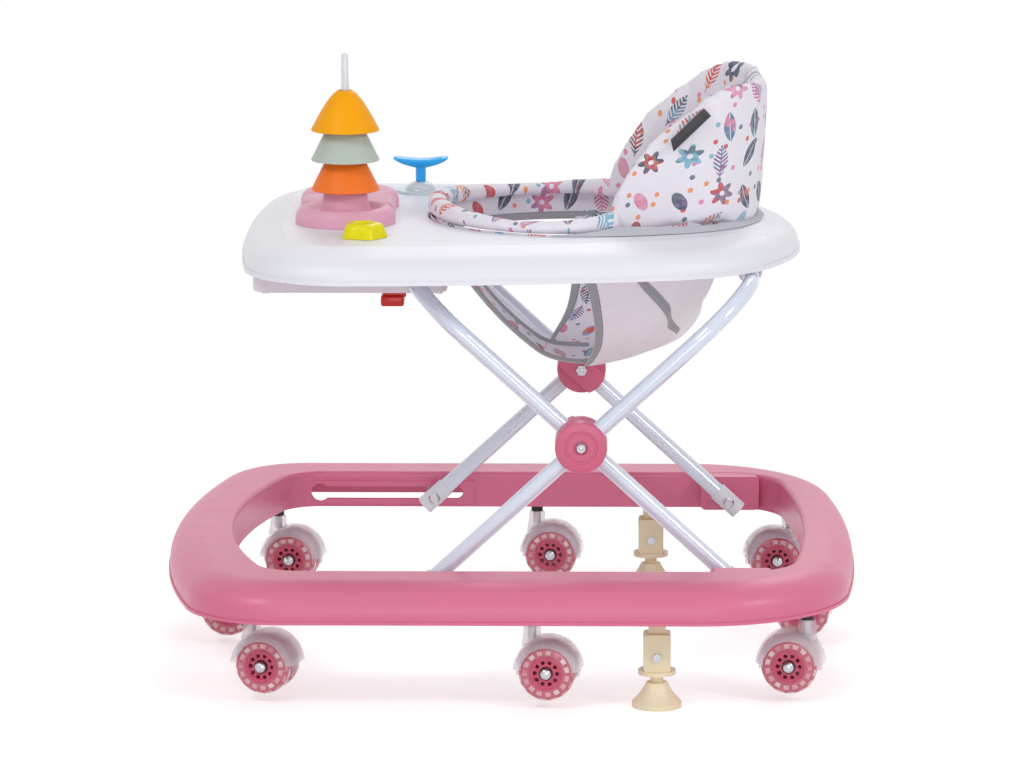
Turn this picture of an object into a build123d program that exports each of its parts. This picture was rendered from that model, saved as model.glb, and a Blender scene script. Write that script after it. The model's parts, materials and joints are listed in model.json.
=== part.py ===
from build123d import *
from math import cos, radians, sin, sqrt
import os

os.makedirs("parts", exist_ok=True)

# Folding baby walker. Millimetres, +Z up, -X is the front, the floor is Z = 0.
# The walker stands with both stoppers swung down, so the soles touch the floor.

# Clearances
run_gap = 0.05  # radial room of a shaft in its bore
face_gap = 0.5  # room between faces that swing or slide past each other
soft_gap = 0.3  # room between padding or cloth and what carries it

# Base ring
base_half_length = 340.5
base_half_width = 316.0
base_lip_height = 89.0
rail_height = 37.0
rail_wall = 3.0
lip_band = 3.0
lip_step = 1.5
rail_side_height = 8.0
rail_round_width = 36.0
base_front_bow = 975.0
base_rear_bow = 1500.0
base_front_corner = 95.0
base_rear_corner = 150.0
front_rail_width = 64.0
rear_rail_width = 51.0
opening_half_width = 239.0
opening_front_bow = 630.0
opening_rear_bow = 1300.0
opening_front_corner = 42.0
opening_rear_corner = 60.0
opening_edge_round = 5.0
boss_foot_rise = 3.0  # bosses end this far above the lip

# Scissor legs
leg_diameter = 16.0
leg_wall = 1.2
leg_lower = 206.0  # hub to the lower pivot
leg_upper = 222.0  # hub to the crossbar under the tray
leg_angle = 42.5  # above the floor, as it stands
leg_folded_angle = 5.0
leg_raised_angle = 44.5
leg_bend_radius = 70.0
outer_leg_offset = 217.0
inner_leg_offset = 198.0
pivot_x = 221.0
pivot_rise = 15.0  # pivot and slot above the lip
end_cap_diameter = 19.0
end_cap_overhang = 14.0
end_cap_length = 30.0
end_cap_end = 3.0
pivot_bolt_diameter = 6.0
hub_bolt_diameter = 8.0
hub_disc_diameter = 50.0
hub_disc_cover = 4.0  # disc material outside the tube
hub_ring_radius = 16.0
hub_ring_width = 2.0
hub_ring_depth = 1.0
bolt_head_height = 3.0
bolt_head_diameter = 11.5
slide_pin_diameter = 12.0
slide_collar_diameter = 14.0
slide_flange_diameter = 18.0
slot_clearance = 0.5
slot_end_room = 13.0
slot_pad_height = 24.0
slot_pad_rise = 2.0
slot_pad_margin = 12.0
pivot_block_length = 60.0
pivot_block_front = 28.0  # ahead of the pivot
pivot_block_step = 19.0  # inwards from the opening's side

# Casters
wheel_diameter = 54.0
wheel_lift = 9.0  # wheels clear of the floor while the stoppers stand
wheel_width = 15.0
wheel_gap = 8.0
core_diameter = 29.0
core_hole_diameter = 4.0
core_hole_circle = 21.4
core_hole_count = 10
core_rim = 2.0
core_dish = 1.5
tyre_round = 4.0
axle_diameter = 5.0
axle_cap_diameter = 11.0
axle_cap_height = 3.0
hood_room = 3.5
hood_wall = 2.5
hood_skirt = 5.0
hood_web = 6.0
hood_boss_diameter = 12.0
caster_trail = 15.5
sleeve_diameter = 13.0
sleeve_flange_diameter = 16.0
sleeve_flange_height = 2.0
stem_diameter = 8.0
stem_boss_diameter = 18.0
stem_depth = 20.0  # into the boss
bush_diameter = 12.0
bush_height = 13.0
caster_front_corner_inset = 94.5  # stems in from the base's ends
caster_rear_corner_inset = 54.5
caster_corner_side = 240.0
caster_middle_x = 23.0
caster_middle_side = 267.0
caster_front_inset = 40.5
caster_rear_inset = 35.5

# Stoppers
stopper_x = 142.0
stopper_side = 267.0
stopper_axis_height = 50.0
tongue_width = 16.5
tongue_thickness = 14.0
fork_width = 26.0
fork_cheek = 5.0
fork_rise = 22.0  # cheeks above the pin
fork_drop = 14.0  # cheeks below the pin
stopper_flange_diameter = 36.0
stopper_flange_height = 4.0
stopper_neck_diameter = 12.5
stopper_neck_height = 8.0
stopper_collar_diameter = 20.0
stopper_foot_diameter = 47.5
stopper_sole_height = 5.0
stopper_pin_diameter = 5.0
stopper_head_diameter = 8.0
stopper_head_height = 2.0
stopper_plate_length = 36.0
stopper_plate_width = 26.0
stopper_plate_height = 4.0

# Tray
tray_front = 265.0
tray_rear = 285.0
tray_front_half_width = 243.0
tray_waist_half_width = 232.0
tray_waist_x = 10.0
tray_rear_half_width = 196.0
tray_front_bow = 1277.0
tray_rear_bow = 279.0
tray_front_corner = 100.0
tray_rear_corner = 150.0
tray_depth = 32.0
tray_wall = 3.0
tray_bead_height = 4.0
tray_bead_step = 2.0
tray_side_height = 4.0
tray_round_width = 52.0
tray_bar_room = 0.8  # rim above the crossbars
seat_hole_x = 65.0
seat_hole_length = 294.0
seat_hole_width = 280.0
seat_hole_lip = 12.0
seat_hole_round = 2.5

# Latch pan under the tray
pan_front = 250.0
pan_half_width = 126.0
pan_depth = 9.0
pan_wall = 3.0
pan_corner = 16.0
pan_edge_round = 2.0
pan_bar_room = 0.6
pan_nose_rise = 6.0  # front wall into the tray
post_diameter = 10.0
post_front_inset = 12.0
post_side = 110.0
screw_diameter = 3.0
screw_head_diameter = 7.0
screw_head_height = 2.5
screw_length = 20.0
rack_offset = 62.0
rack_width = 14.0
rack_height = 3.0
rack_tooth_pitch = 12.0
rack_tooth_depth = 1.5
lever_x = -116.0
lever_width = 23.0
lever_length = 20.0
lever_drop = 24.0
lever_plate_height = 4.0
lever_plate_margin = 8.0
lever_travel = 8.0
lever_corner = 3.0
spring_diameter = 5.0
spring_wire = 0.9
spring_pitch = 2.2
spring_loops = 8
spring_post_diameter = 4.0

# Rear bar clamps
clamp_offset = 88.0
clamp_width = 16.0
clamp_wall = 4.0
clamp_flange_length = 38.0
clamp_flange_height = 4.0
clamp_drop = 15.0  # clamp top below the tray top
clamp_screw_spacing = 31.0

# Seat
collar_outside = 3.0
collar_inside = 20.0
collar_front_height = 23.0
collar_side_height = 11.0
collar_rear_height = 18.0
collar_low_x = 12.0
collar_crown = 6.0
collar_rear_x = 94.0
back_front_x = 96.0
back_rear_x = 243.0
back_half_width = 106.0
back_flare = 22.0
back_rake = 7.0
back_height = 156.0
back_corner = 80.0
back_thickness = 14.0
back_edge_round = 5.0
back_wing_height = 12.0
back_wing_mid_x = 150.0
back_wing_mid_height = 98.0
board_thickness = 3.0
board_margin = 9.0
clip_length = 45.0
clip_width = 10.0
clip_thickness = 5.0
clip_x = 173.0
sling_thickness = 3.0
sling_depth = 150.0
hoop_depth = 20.0
strap_half_width = 34.0
strap_bend_x = -42.0
strap_bend_drop = 71.0
strap_knee_x = 9.0
strap_knee_drop = 127.0
# Hanging pouch below its rim: depth, reach behind its front edge, half width
pouch_levels = [(50.0, 126.0, 130.0), (94.0, 102.0, 113.0), (132.0, 66.0, 84.0), (sling_depth, 34.0, 52.0)]

# Toys on the tray
toy_x = -162.0
toy_lobe_diameter = 98.0
toy_lobe_spread = 108.0
toy_waist_width = 84.0
toy_waist_round = 12.0
toy_base_height = 17.0
toy_base_round = 8.0
toy_boss_diameter = 50.0
toy_boss_top_diameter = 39.0
toy_boss_height = 24.0
cup_rim_diameter = 67.0
cup_top_diameter = 24.0
cup_height = 38.0
cup_wall = 2.0
cup_nest = 9.0  # how deep one cup sits in the next
cup_draft = 20.0
cone_top_diameter = 22.0
cone_height = 40.0
cone_round = 4.5
post_base_diameter = 10.0
post_tip_diameter = 7.0
post_height = 167.0
post_bore_room = 1.0
spinner_x = -94.0
spinner_y = 146.0
spinner_flange_diameter = 50.0
spinner_flange_height = 3.0
spinner_dome_diameter = 32.0
spinner_dome_height = 11.0
spinner_stem_diameter = 8.0
spinner_height = 38.0
spinner_span = 56.0
spinner_blade_width = 18.0
spinner_blade_thickness = 3.0
spinner_pin_diameter = 4.0
spinner_pin_height = 14.0
knob_x = -141.0
knob_y = -146.0
knob_diameter = 46.0
knob_height = 14.0
knob_lobe_count = 5
knob_lobe_diameter = 16.0
knob_pin_diameter = 6.0
knob_pin_height = 10.0
knob_round = 4.0

# Places worked out from the sizes above
leg_radius = leg_diameter / 2
angle = radians(leg_angle)
opening_front = base_half_length - front_rail_width
opening_rear = base_half_length - rear_rail_width
caster_front_x = base_half_length - caster_front_inset
caster_rear_x = base_half_length - caster_rear_inset
caster_corner_front = base_half_length - caster_front_corner_inset
caster_corner_rear = base_half_length - caster_rear_corner_inset
pivot_z = base_lip_height + pivot_rise
rail_top = base_lip_height + rail_height
hub_x = pivot_x - leg_lower * cos(angle)
hub_z = pivot_z + leg_lower * sin(angle)
outer_bar_x = hub_x + leg_upper * cos(angle)
inner_bar_x = hub_x - leg_upper * cos(angle)
bar_z = hub_z + leg_upper * sin(angle)
tray_rim = bar_z + leg_radius + tray_bar_room
tray_top = tray_rim + tray_depth
tray_under = tray_top - tray_wall
slide_pin_x = pivot_x - 2 * leg_lower * cos(angle)


def slide_x(degrees):
    """Place of the slide pins along the base for a leg angle."""
    return pivot_x - 2 * leg_lower * cos(radians(degrees))


def bar_x_in_tray(degrees):
    """Place of the front crossbar along the tray for a leg angle."""
    turn = radians(degrees)
    return outer_bar_x - 2 * leg_upper * cos(turn)


def sagitta(radius, half_chord):
    """Height of an arc over its chord."""
    return radius - sqrt(radius**2 - half_chord**2)


def bowed_face(front, rear, half_width, front_bow, rear_bow, front_corner, rear_corner, inset):
    """Plan with bowed ends and round corners, parallel to itself at an inset."""
    side = half_width - inset
    nose = front - inset
    tail = rear - inset
    nose_corner = nose - sagitta(front_bow - inset, side)
    tail_corner = tail - sagitta(rear_bow - inset, side)
    with BuildSketch() as plan:
        with BuildLine():
            ThreePointArc((-nose_corner, -side), (-nose, 0), (-nose_corner, side))
            Line((-nose_corner, side), (tail_corner, side))
            ThreePointArc((tail_corner, side), (tail, 0), (tail_corner, -side))
            Line((tail_corner, -side), (-nose_corner, -side))
        make_face()
        fillet(plan.vertices().sort_by(Axis.X)[:2], front_corner - inset)
        fillet(plan.vertices().sort_by(Axis.X)[-2:], rear_corner - inset)
    return plan.sketch


def rail_face(inset):
    """Outer plan of the base ring."""
    return bowed_face(
        base_half_length,
        base_half_length,
        base_half_width,
        base_front_bow,
        base_rear_bow,
        base_front_corner,
        base_rear_corner,
        inset,
    )


def opening_face(inset):
    """Plan of the opening inside the base ring."""
    return bowed_face(
        opening_front,
        opening_rear,
        opening_half_width,
        opening_front_bow,
        opening_rear_bow,
        opening_front_corner,
        opening_rear_corner,
        inset,
    )


def crown_levels(foot, top, first_inset, width, steps):
    """Insets and heights of a rounded edge, from its foot up to the flat top."""
    levels = []
    for step in range(steps + 1):
        turn = radians(90 * step / steps)
        levels.append((first_inset + width * (1 - cos(turn)), foot + (top - foot) * sin(turn)))
    return levels


def tray_face(inset):
    """Plan of the tray, wide and square at the front and round at the rear."""
    nose = tray_front - inset
    tail = tray_rear - inset
    front_side = tray_front_half_width - inset
    waist = tray_waist_half_width - inset
    rear_side = tray_rear_half_width - inset
    nose_corner = nose - sagitta(tray_front_bow - inset, front_side)
    tail_corner = tail - sagitta(tray_rear_bow - inset, rear_side)
    with BuildSketch() as plan:
        with BuildLine():
            ThreePointArc((-nose_corner, -front_side), (-nose, 0), (-nose_corner, front_side))
            ThreePointArc((-nose_corner, front_side), (tray_waist_x, waist), (tail_corner, rear_side))
            ThreePointArc((tail_corner, rear_side), (tail, 0), (tail_corner, -rear_side))
            ThreePointArc((tail_corner, -rear_side), (tray_waist_x, -waist), (-nose_corner, -front_side))
        make_face()
        fillet(plan.vertices().sort_by(Axis.X)[:2], tray_front_corner - inset)
        fillet(plan.vertices().sort_by(Axis.X)[-2:], tray_rear_corner - inset)
    return plan.sketch


def write(part, name):
    """Label a finished piece and write its file."""
    part.label = name
    export_step(part, f"parts/{name}.step")


# Caster stems: name, x, y and the direction in which the wheels trail, in degrees
casters = [
    ("front_middle", -caster_front_x, 0.0, 8.0),
    ("front_near", -caster_corner_front, -caster_corner_side, -17.0),
    ("front_far", -caster_corner_front, caster_corner_side, -11.0),
    ("middle_near", caster_middle_x, -caster_middle_side, -7.0),
    ("middle_far", caster_middle_x, caster_middle_side, -5.0),
    ("rear_near", caster_corner_rear, -caster_corner_side, 172.0),
    ("rear_far", caster_corner_rear, caster_corner_side, 186.0),
    ("rear_middle", caster_rear_x, 0.0, 184.0),
]
stem_points = [(x, y) for name, x, y, trail in casters]
stopper_points = [(stopper_x, -stopper_side), (stopper_x, stopper_side)]
boss_foot = base_lip_height + boss_foot_rise
pivot_block_x = pivot_x - pivot_block_front + pivot_block_length / 2
pivot_face = opening_half_width - pivot_block_step

# Hollow under the base ring's top, with its inner wall and bosses left standing
rail_side_foot = base_lip_height + lip_band
rail_round_foot = rail_side_foot + rail_side_height
crown_steps = 4
with BuildPart() as rail_hollow:
    with BuildSketch(Plane.XY.offset(base_lip_height - rail_wall)):
        add(rail_face(lip_step + rail_wall))
    for inset, height in crown_levels(
        rail_round_foot - rail_wall, rail_top - rail_wall, lip_step + rail_wall, rail_round_width, crown_steps
    ):
        with BuildSketch(Plane.XY.offset(height)):
            add(rail_face(inset))
    loft()
    with BuildSketch(Plane.XY.offset(base_lip_height - 2 * rail_wall)):
        add(opening_face(-rail_wall))
    extrude(amount=rail_height + 2 * rail_wall, mode=Mode.SUBTRACT)
    with BuildSketch(Plane.XY.offset(boss_foot)):
        with Locations(*stem_points):
            Circle(stem_boss_diameter / 2)
        with Locations(*stopper_points):
            Rectangle(stopper_plate_length, stopper_plate_width)
    extrude(amount=rail_height, mode=Mode.SUBTRACT)

# Base ring: one moulded rail, open underneath, with slots for the sliding legs
slot_front = slide_x(leg_folded_angle) - slide_pin_diameter / 2 - slot_end_room
slot_rear = slide_x(leg_raised_angle) + slide_pin_diameter / 2 + slot_end_room
slot_length = slot_rear - slot_front
slot_x = (slot_front + slot_rear) / 2
slot_height = slide_pin_diameter + 2 * slot_clearance
slot_face = opening_half_width - slot_pad_rise
wall_back = opening_half_width + rail_wall
keyhole_x = slot_front + slot_height / 2
end_cap_face = outer_leg_offset + end_cap_diameter / 2
inner_cap_face = inner_leg_offset + end_cap_diameter / 2
pivot_bolt_end = pivot_face + pivot_block_step
with BuildPart() as base_ring:
    with BuildSketch(Plane.XY.offset(base_lip_height)):
        add(rail_face(0))
    extrude(amount=lip_band)
    with BuildSketch(Plane.XY.offset(rail_side_foot)):
        add(rail_face(lip_step))
    for inset, height in crown_levels(rail_round_foot, rail_top, lip_step, rail_round_width, crown_steps):
        with BuildSketch(Plane.XY.offset(height)):
            add(rail_face(inset))
    loft()
    add(rail_hollow.part, mode=Mode.SUBTRACT)
    with BuildSketch(Plane.XY.offset(base_lip_height - rail_wall)):
        add(opening_face(0))
    extrude(amount=rail_height + 2 * rail_wall, mode=Mode.SUBTRACT)
    top_face = base_ring.faces().filter_by(Plane.XY).sort_by(Axis.Z)[-1]
    fillet(top_face.inner_wires()[0].edges(), opening_edge_round)
    for side in (-1, 1):
        # Raised pad round the slot
        with BuildSketch(Plane.XZ.offset(-side * slot_face)):
            with Locations((slot_x, pivot_z)):
                Rectangle(slot_length + 2 * slot_pad_margin, slot_pad_height)
        extrude(amount=-side * (slot_pad_rise + rail_wall))
        # Step that carries the fixed pivot, hollow behind
        with BuildSketch(Plane.XZ.offset(-side * pivot_face)):
            with Locations((pivot_block_x, (base_lip_height + rail_top) / 2)):
                RectangleRounded(pivot_block_length, rail_height - 2, opening_edge_round)
        extrude(amount=-side * (pivot_block_step + rail_wall))
        with BuildSketch(Plane.XZ.offset(-side * (pivot_face + rail_wall))):
            with Locations((pivot_block_x, (base_lip_height + rail_top) / 2 - 2 * rail_wall)):
                Rectangle(pivot_block_length - 2 * rail_wall, rail_height)
        extrude(amount=-side * (pivot_block_step + rail_wall), mode=Mode.SUBTRACT)
        with BuildSketch(Plane.XZ.offset(-side * (inner_cap_face + face_gap))):
            with Locations((pivot_x, pivot_z)):
                Circle(leg_radius)
        extrude(amount=-side * (pivot_bolt_end - inner_cap_face - face_gap + rail_wall))
        with BuildSketch(Plane.XZ.offset(-side * inner_cap_face)):
            with Locations((pivot_x, pivot_z)):
                Circle(pivot_bolt_diameter / 2 + run_gap)
        extrude(amount=-side * (pivot_bolt_end - inner_cap_face + 2 * rail_wall), mode=Mode.SUBTRACT)
        # Slot with a keyhole at its front end
        with BuildSketch(Plane.XZ.offset(-side * (slot_face - slot_pad_rise))):
            with Locations((slot_x, pivot_z)):
                SlotOverall(slot_length, slot_height)
            with Locations((keyhole_x, pivot_z)):
                Circle(slide_flange_diameter / 2 + slot_clearance)
        extrude(amount=-side * (2 * slot_pad_rise + 2 * rail_wall), mode=Mode.SUBTRACT)
    with BuildSketch(Plane.XY.offset(boss_foot)):
        with Locations(*stem_points):
            Circle(stem_diameter / 2 + run_gap)
    extrude(amount=stem_depth, mode=Mode.SUBTRACT)
write(base_ring.part, "base_ring")

# Caster stems: steel pins set in the base's bosses
wheel_axis = wheel_lift + wheel_diameter / 2
hood_radius = wheel_diameter / 2 + hood_room + hood_wall
sleeve_top = boss_foot - bush_height
sleeve_foot = wheel_axis + wheel_diameter / 2 + hood_room
with BuildPart() as caster_stems:
    with BuildSketch(Plane.XY.offset(sleeve_foot)):
        with Locations(*stem_points):
            Circle(stem_diameter / 2)
    extrude(amount=boss_foot + stem_depth - sleeve_foot)
write(caster_stems.part, "caster_stems")

# Bushes between each boss and its caster
with BuildPart() as stem_bushes:
    with BuildSketch(Plane.XY.offset(sleeve_top + soft_gap)):
        with Locations(*stem_points):
            Circle(bush_diameter / 2)
            Circle(stem_diameter / 2 + run_gap, mode=Mode.SUBTRACT)
    extrude(amount=bush_height - soft_gap)
write(stem_bushes.part, "stem_bushes")

# Casters: a hood that swivels on its stem, twin wheels on one axle, and their tyres
wheel_half_gap = wheel_gap / 2
wheel_outside = wheel_half_gap + wheel_width
axle_radius = axle_diameter / 2
for name, stem_x, stem_y, trail in casters:
    ahead = Vector(cos(radians(trail)), sin(radians(trail)), 0)
    stem_foot = Vector(stem_x, stem_y, 0)
    wheel_centre = stem_foot + ahead * caster_trail + Vector(0, 0, wheel_axis)
    wheel_plane = Plane(origin=wheel_centre, x_dir=ahead, z_dir=Vector(ahead.Y, -ahead.X, 0))

    with BuildPart() as hood:
        with BuildSketch(wheel_plane):
            Circle(hood_radius)
            with Locations((0, -hood_radius)):
                Rectangle(2 * hood_radius, 2 * hood_radius, mode=Mode.SUBTRACT)
            with Locations((0, -hood_skirt / 2)):
                Rectangle(2 * hood_radius, hood_skirt)
        extrude(amount=wheel_outside + soft_gap, both=True)
        with BuildSketch(Plane(origin=stem_foot + Vector(0, 0, wheel_axis), x_dir=ahead)):
            Circle(sleeve_diameter / 2)
        extrude(amount=sleeve_top - wheel_axis)
        with BuildSketch(Plane(origin=stem_foot + Vector(0, 0, sleeve_top), x_dir=ahead)):
            Circle(sleeve_flange_diameter / 2)
        extrude(amount=-sleeve_flange_height)
        with BuildSketch(wheel_plane):
            Circle(hood_radius - hood_wall)
            with Locations((0, -hood_skirt)):
                Rectangle(2 * (hood_radius - hood_wall), 2 * hood_skirt)
        extrude(amount=wheel_outside + 2 * soft_gap, both=True, mode=Mode.SUBTRACT)
        with BuildSketch(wheel_plane):
            Circle(hood_radius - hood_wall / 2)
            with Locations((0, -hood_radius)):
                Rectangle(2 * hood_radius, 2 * hood_radius, mode=Mode.SUBTRACT)
            Circle(hood_boss_diameter / 2)
        extrude(amount=hood_web / 2, both=True)
        with BuildSketch(wheel_plane):
            Circle(axle_radius + run_gap)
        extrude(amount=hood_web, both=True, mode=Mode.SUBTRACT)
        with BuildSketch(Plane(origin=stem_foot + Vector(0, 0, sleeve_foot), x_dir=ahead)):
            Circle(stem_diameter / 2 + run_gap)
        extrude(amount=sleeve_top - sleeve_foot, mode=Mode.SUBTRACT)
    write(hood.part, f"caster_{name}_hood")

    with BuildPart() as wheels:
        for facing in (-1, 1):
            with BuildSketch(wheel_plane.offset(facing * wheel_half_gap)):
                Circle(core_diameter / 2)
                Circle(axle_radius + run_gap, mode=Mode.SUBTRACT)
                with PolarLocations(core_hole_circle / 2, core_hole_count):
                    Circle(core_hole_diameter / 2, mode=Mode.SUBTRACT)
            extrude(amount=facing * wheel_width)
            with BuildSketch(wheel_plane.offset(facing * wheel_outside)):
                Circle(core_diameter / 2 - core_rim)
                Circle(axle_cap_diameter / 2 + core_rim / 2, mode=Mode.SUBTRACT)
            extrude(amount=-facing * core_dish, mode=Mode.SUBTRACT)
        with BuildSketch(wheel_plane):
            Circle(axle_radius)
        extrude(amount=wheel_outside, both=True)
        for facing in (-1, 1):
            with BuildSketch(wheel_plane.offset(facing * wheel_outside)):
                Circle(axle_cap_diameter / 2)
            extrude(amount=facing * axle_cap_height, taper=30)
    write(wheels.part, f"caster_{name}_wheels")

    with BuildPart() as tyres:
        for facing in (-1, 1):
            with BuildSketch(wheel_plane.offset(facing * wheel_half_gap)):
                Circle(wheel_diameter / 2)
            extrude(amount=facing * wheel_width)
        fillet(tyres.edges(), tyre_round)
        with BuildSketch(wheel_plane):
            Circle(core_diameter / 2 + run_gap)
        extrude(amount=wheel_outside, both=True, mode=Mode.SUBTRACT)
    write(tyres.part, f"caster_{name}_tyres")

# Stopper brackets: a tongue hung from the base on a plate
tongue_radius = tongue_width / 2
with BuildPart() as stopper_brackets:
    for x, y in stopper_points:
        with BuildSketch(Plane.XY.offset(boss_foot - stopper_plate_height)):
            with Locations((x, y)):
                Rectangle(stopper_plate_length, stopper_plate_width)
        extrude(amount=stopper_plate_height)
        with BuildSketch(Plane.XZ.offset(-y)):
            with Locations((x, stopper_axis_height)):
                Circle(tongue_radius)
            with Locations((x, (stopper_axis_height + boss_foot - stopper_plate_height) / 2)):
                Rectangle(tongue_width, boss_foot - stopper_plate_height - stopper_axis_height)
            with Locations((x, stopper_axis_height)):
                Circle(stopper_pin_diameter / 2 + run_gap, mode=Mode.SUBTRACT)
        extrude(amount=tongue_thickness / 2, both=True)
write(stopper_brackets.part, "stopper_brackets")

# Stopper pins: screws through the fork and the tongue
fork_half = tongue_thickness / 2 + face_gap + fork_cheek
with BuildPart() as stopper_pins:
    for x, y in stopper_points:
        with BuildSketch(Plane.XZ.offset(-y)):
            with Locations((x, stopper_axis_height)):
                Circle(stopper_pin_diameter / 2)
        extrude(amount=fork_half, both=True)
        for facing in (-1, 1):
            with BuildSketch(Plane.XZ.offset(-y + facing * (fork_half + soft_gap))):
                with Locations((x, stopper_axis_height)):
                    Circle(stopper_head_diameter / 2)
            extrude(amount=facing * stopper_head_height)
            with BuildSketch(Plane.XZ.offset(-y + facing * fork_half)):
                with Locations((x, stopper_axis_height)):
                    Circle(stopper_pin_diameter / 2)
            extrude(amount=facing * soft_gap)
write(stopper_pins.part, "stopper_pins")

# Stopper legs: fork, flange, neck and flared rubber foot, swinging on the pin
flange_top = stopper_axis_height - fork_drop
neck_top = flange_top - stopper_flange_height
collar_top = neck_top - stopper_neck_height
for name, y in (("near", -stopper_side), ("far", stopper_side)):
    fork_plane = Plane.XZ.offset(-y)
    with BuildPart() as stopper_leg:
        with BuildSketch(fork_plane):
            with Locations((stopper_x, stopper_axis_height + (fork_rise - fork_drop) / 2)):
                RectangleRounded(fork_width, fork_rise + fork_drop, lever_corner)
        extrude(amount=fork_half, both=True)
        with BuildSketch(fork_plane):
            with Locations((stopper_x, stopper_axis_height)):
                Circle(tongue_radius + face_gap)
            with Locations((stopper_x, stopper_axis_height + fork_rise / 2)):
                Rectangle(fork_width + face_gap, fork_rise + face_gap)
            with Locations((stopper_x + fork_width / 2, stopper_axis_height)):
                Rectangle(fork_width, 2 * (tongue_radius + face_gap))
        extrude(amount=tongue_thickness / 2 + face_gap, both=True, mode=Mode.SUBTRACT)
        with BuildSketch(fork_plane):
            with Locations((stopper_x, stopper_axis_height)):
                Circle(stopper_pin_diameter / 2 + run_gap)
        extrude(amount=fork_half + face_gap, both=True, mode=Mode.SUBTRACT)
        with BuildSketch(Plane(origin=(stopper_x, y, 0), z_dir=(0, -1, 0), x_dir=(1, 0, 0))):
            with BuildLine():
                Polyline(
                    (0, stopper_sole_height),
                    (0, flange_top),
                    (stopper_flange_diameter / 2, flange_top),
                    (stopper_flange_diameter / 2, neck_top),
                    (stopper_neck_diameter / 2, neck_top),
                    (stopper_neck_diameter / 2, collar_top),
                    (stopper_collar_diameter / 2, collar_top),
                )
                foot_flare = ThreePointArc(
                    (stopper_collar_diameter / 2, collar_top),
                    (
                        (stopper_collar_diameter + stopper_foot_diameter) / 4 - 3 * soft_gap,
                        (collar_top + stopper_sole_height) / 2 - 3 * soft_gap,
                    ),
                    (stopper_foot_diameter / 2, stopper_sole_height),
                )
                Line(foot_flare @ 1, (0, stopper_sole_height))
            make_face()
        revolve(axis=Axis((stopper_x, y, 0), (0, 0, 1)))
        with BuildSketch(Plane.XY):
            with Locations((stopper_x, y)):
                Circle(stopper_foot_diameter / 2)
        extrude(amount=stopper_sole_height)
    write(stopper_leg.part, f"stopper_leg_{name}")


def leg_plane(direction):
    """Plane of a U-shaped leg tube: X along the leg from the hub, Y across the walker."""
    along = Vector(direction * cos(angle), 0, sin(angle))
    return Plane(origin=(hub_x, 0, hub_z), x_dir=along, z_dir=along.cross(Vector(0, 1, 0)))


def cross_bore(x, z, y_from, y_to, radius):
    """Round tool across the walker, to cut or add a bolt."""
    with BuildPart() as tool:
        with BuildSketch(Plane.XZ.offset(-y_from)):
            with Locations((x, z)):
                Circle(radius)
        extrude(amount=y_from - y_to)
    return tool.part


# The two U-shaped leg tubes and the pieces fixed to them
tube_end = leg_lower + end_cap_overhang - end_cap_end
cap_start = leg_lower + end_cap_overhang
disc_radius = hub_disc_diameter / 2
disc_split = (outer_leg_offset + inner_leg_offset) / 2
for name, direction, half_spacing, lower_x in (
    ("outer", 1, outer_leg_offset, slide_pin_x),
    ("inner", -1, inner_leg_offset, pivot_x),
):
    plane = leg_plane(direction)
    with BuildPart() as leg_tube:
        with BuildLine(plane) as leg_path:
            FilletPolyline(
                (-tube_end, -half_spacing),
                (leg_upper, -half_spacing),
                (leg_upper, half_spacing),
                (-tube_end, half_spacing),
                radius=leg_bend_radius,
            )
        with BuildSketch(Plane(origin=leg_path.line @ 0, z_dir=leg_path.line % 0)):
            Circle(leg_radius)
            Circle(leg_radius - leg_wall, mode=Mode.SUBTRACT)
        sweep(path=leg_path.line)
        for side in (-1, 1):
            inside = side * (half_spacing - leg_diameter)
            outside = side * (half_spacing + leg_diameter)
            add(
                cross_bore(lower_x, pivot_z, inside, outside, pivot_bolt_diameter / 2 + run_gap),
                mode=Mode.SUBTRACT,
            )
            add(
                cross_bore(hub_x, hub_z, inside, outside, hub_bolt_diameter / 2 + run_gap),
                mode=Mode.SUBTRACT,
            )
    write(leg_tube.part, f"{name}_leg_tube")

    with BuildPart() as end_caps:
        for side in (-1, 1):
            end_plane = Plane(
                origin=plane.from_local_coords((-cap_start, side * half_spacing, 0)), z_dir=plane.x_dir
            )
            with BuildSketch(end_plane):
                Circle(end_cap_diameter / 2)
            extrude(amount=end_cap_length)
            with BuildSketch(end_plane.offset(end_cap_end)):
                Circle(leg_radius + run_gap)
            extrude(amount=end_cap_length, mode=Mode.SUBTRACT)
            inside = side * (half_spacing - leg_diameter)
            outside = side * (half_spacing + leg_diameter)
            add(
                cross_bore(lower_x, pivot_z, inside, outside, pivot_bolt_diameter / 2 + run_gap),
                mode=Mode.SUBTRACT,
            )
    write(end_caps.part, f"{name}_leg_end_caps")

    with BuildPart() as hub_discs:
        for side in (-1, 1):
            inner_face = disc_split + face_gap
            outer_face = half_spacing + leg_radius + hub_disc_cover
            if name == "inner":
                inner_face = half_spacing - leg_radius - hub_disc_cover
                outer_face = disc_split - face_gap
            add(cross_bore(hub_x, hub_z, side * inner_face, side * outer_face, disc_radius))
            shown_face = outer_face
            if name == "inner":
                shown_face = inner_face
            ring_turn = 1 if name == "outer" else -1
            with BuildSketch(Plane.XZ.offset(-side * shown_face)):
                with Locations((hub_x, hub_z)):
                    Circle(hub_ring_radius)
                    Circle(hub_ring_radius - hub_ring_width, mode=Mode.SUBTRACT)
            extrude(amount=side * ring_turn * hub_ring_depth, mode=Mode.SUBTRACT)
            add(
                cross_bore(
                    hub_x, hub_z, side * inner_face, side * outer_face, hub_bolt_diameter / 2 + run_gap
                ),
                mode=Mode.SUBTRACT,
            )
            bore_plane = Plane(
                origin=plane.from_local_coords((-hub_disc_diameter, side * half_spacing, 0)), z_dir=plane.x_dir
            )
            with BuildSketch(bore_plane):
                Circle(leg_radius + run_gap)
            extrude(amount=2 * hub_disc_diameter, mode=Mode.SUBTRACT)
    write(hub_discs.part, f"hub_{name}_discs")

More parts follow.
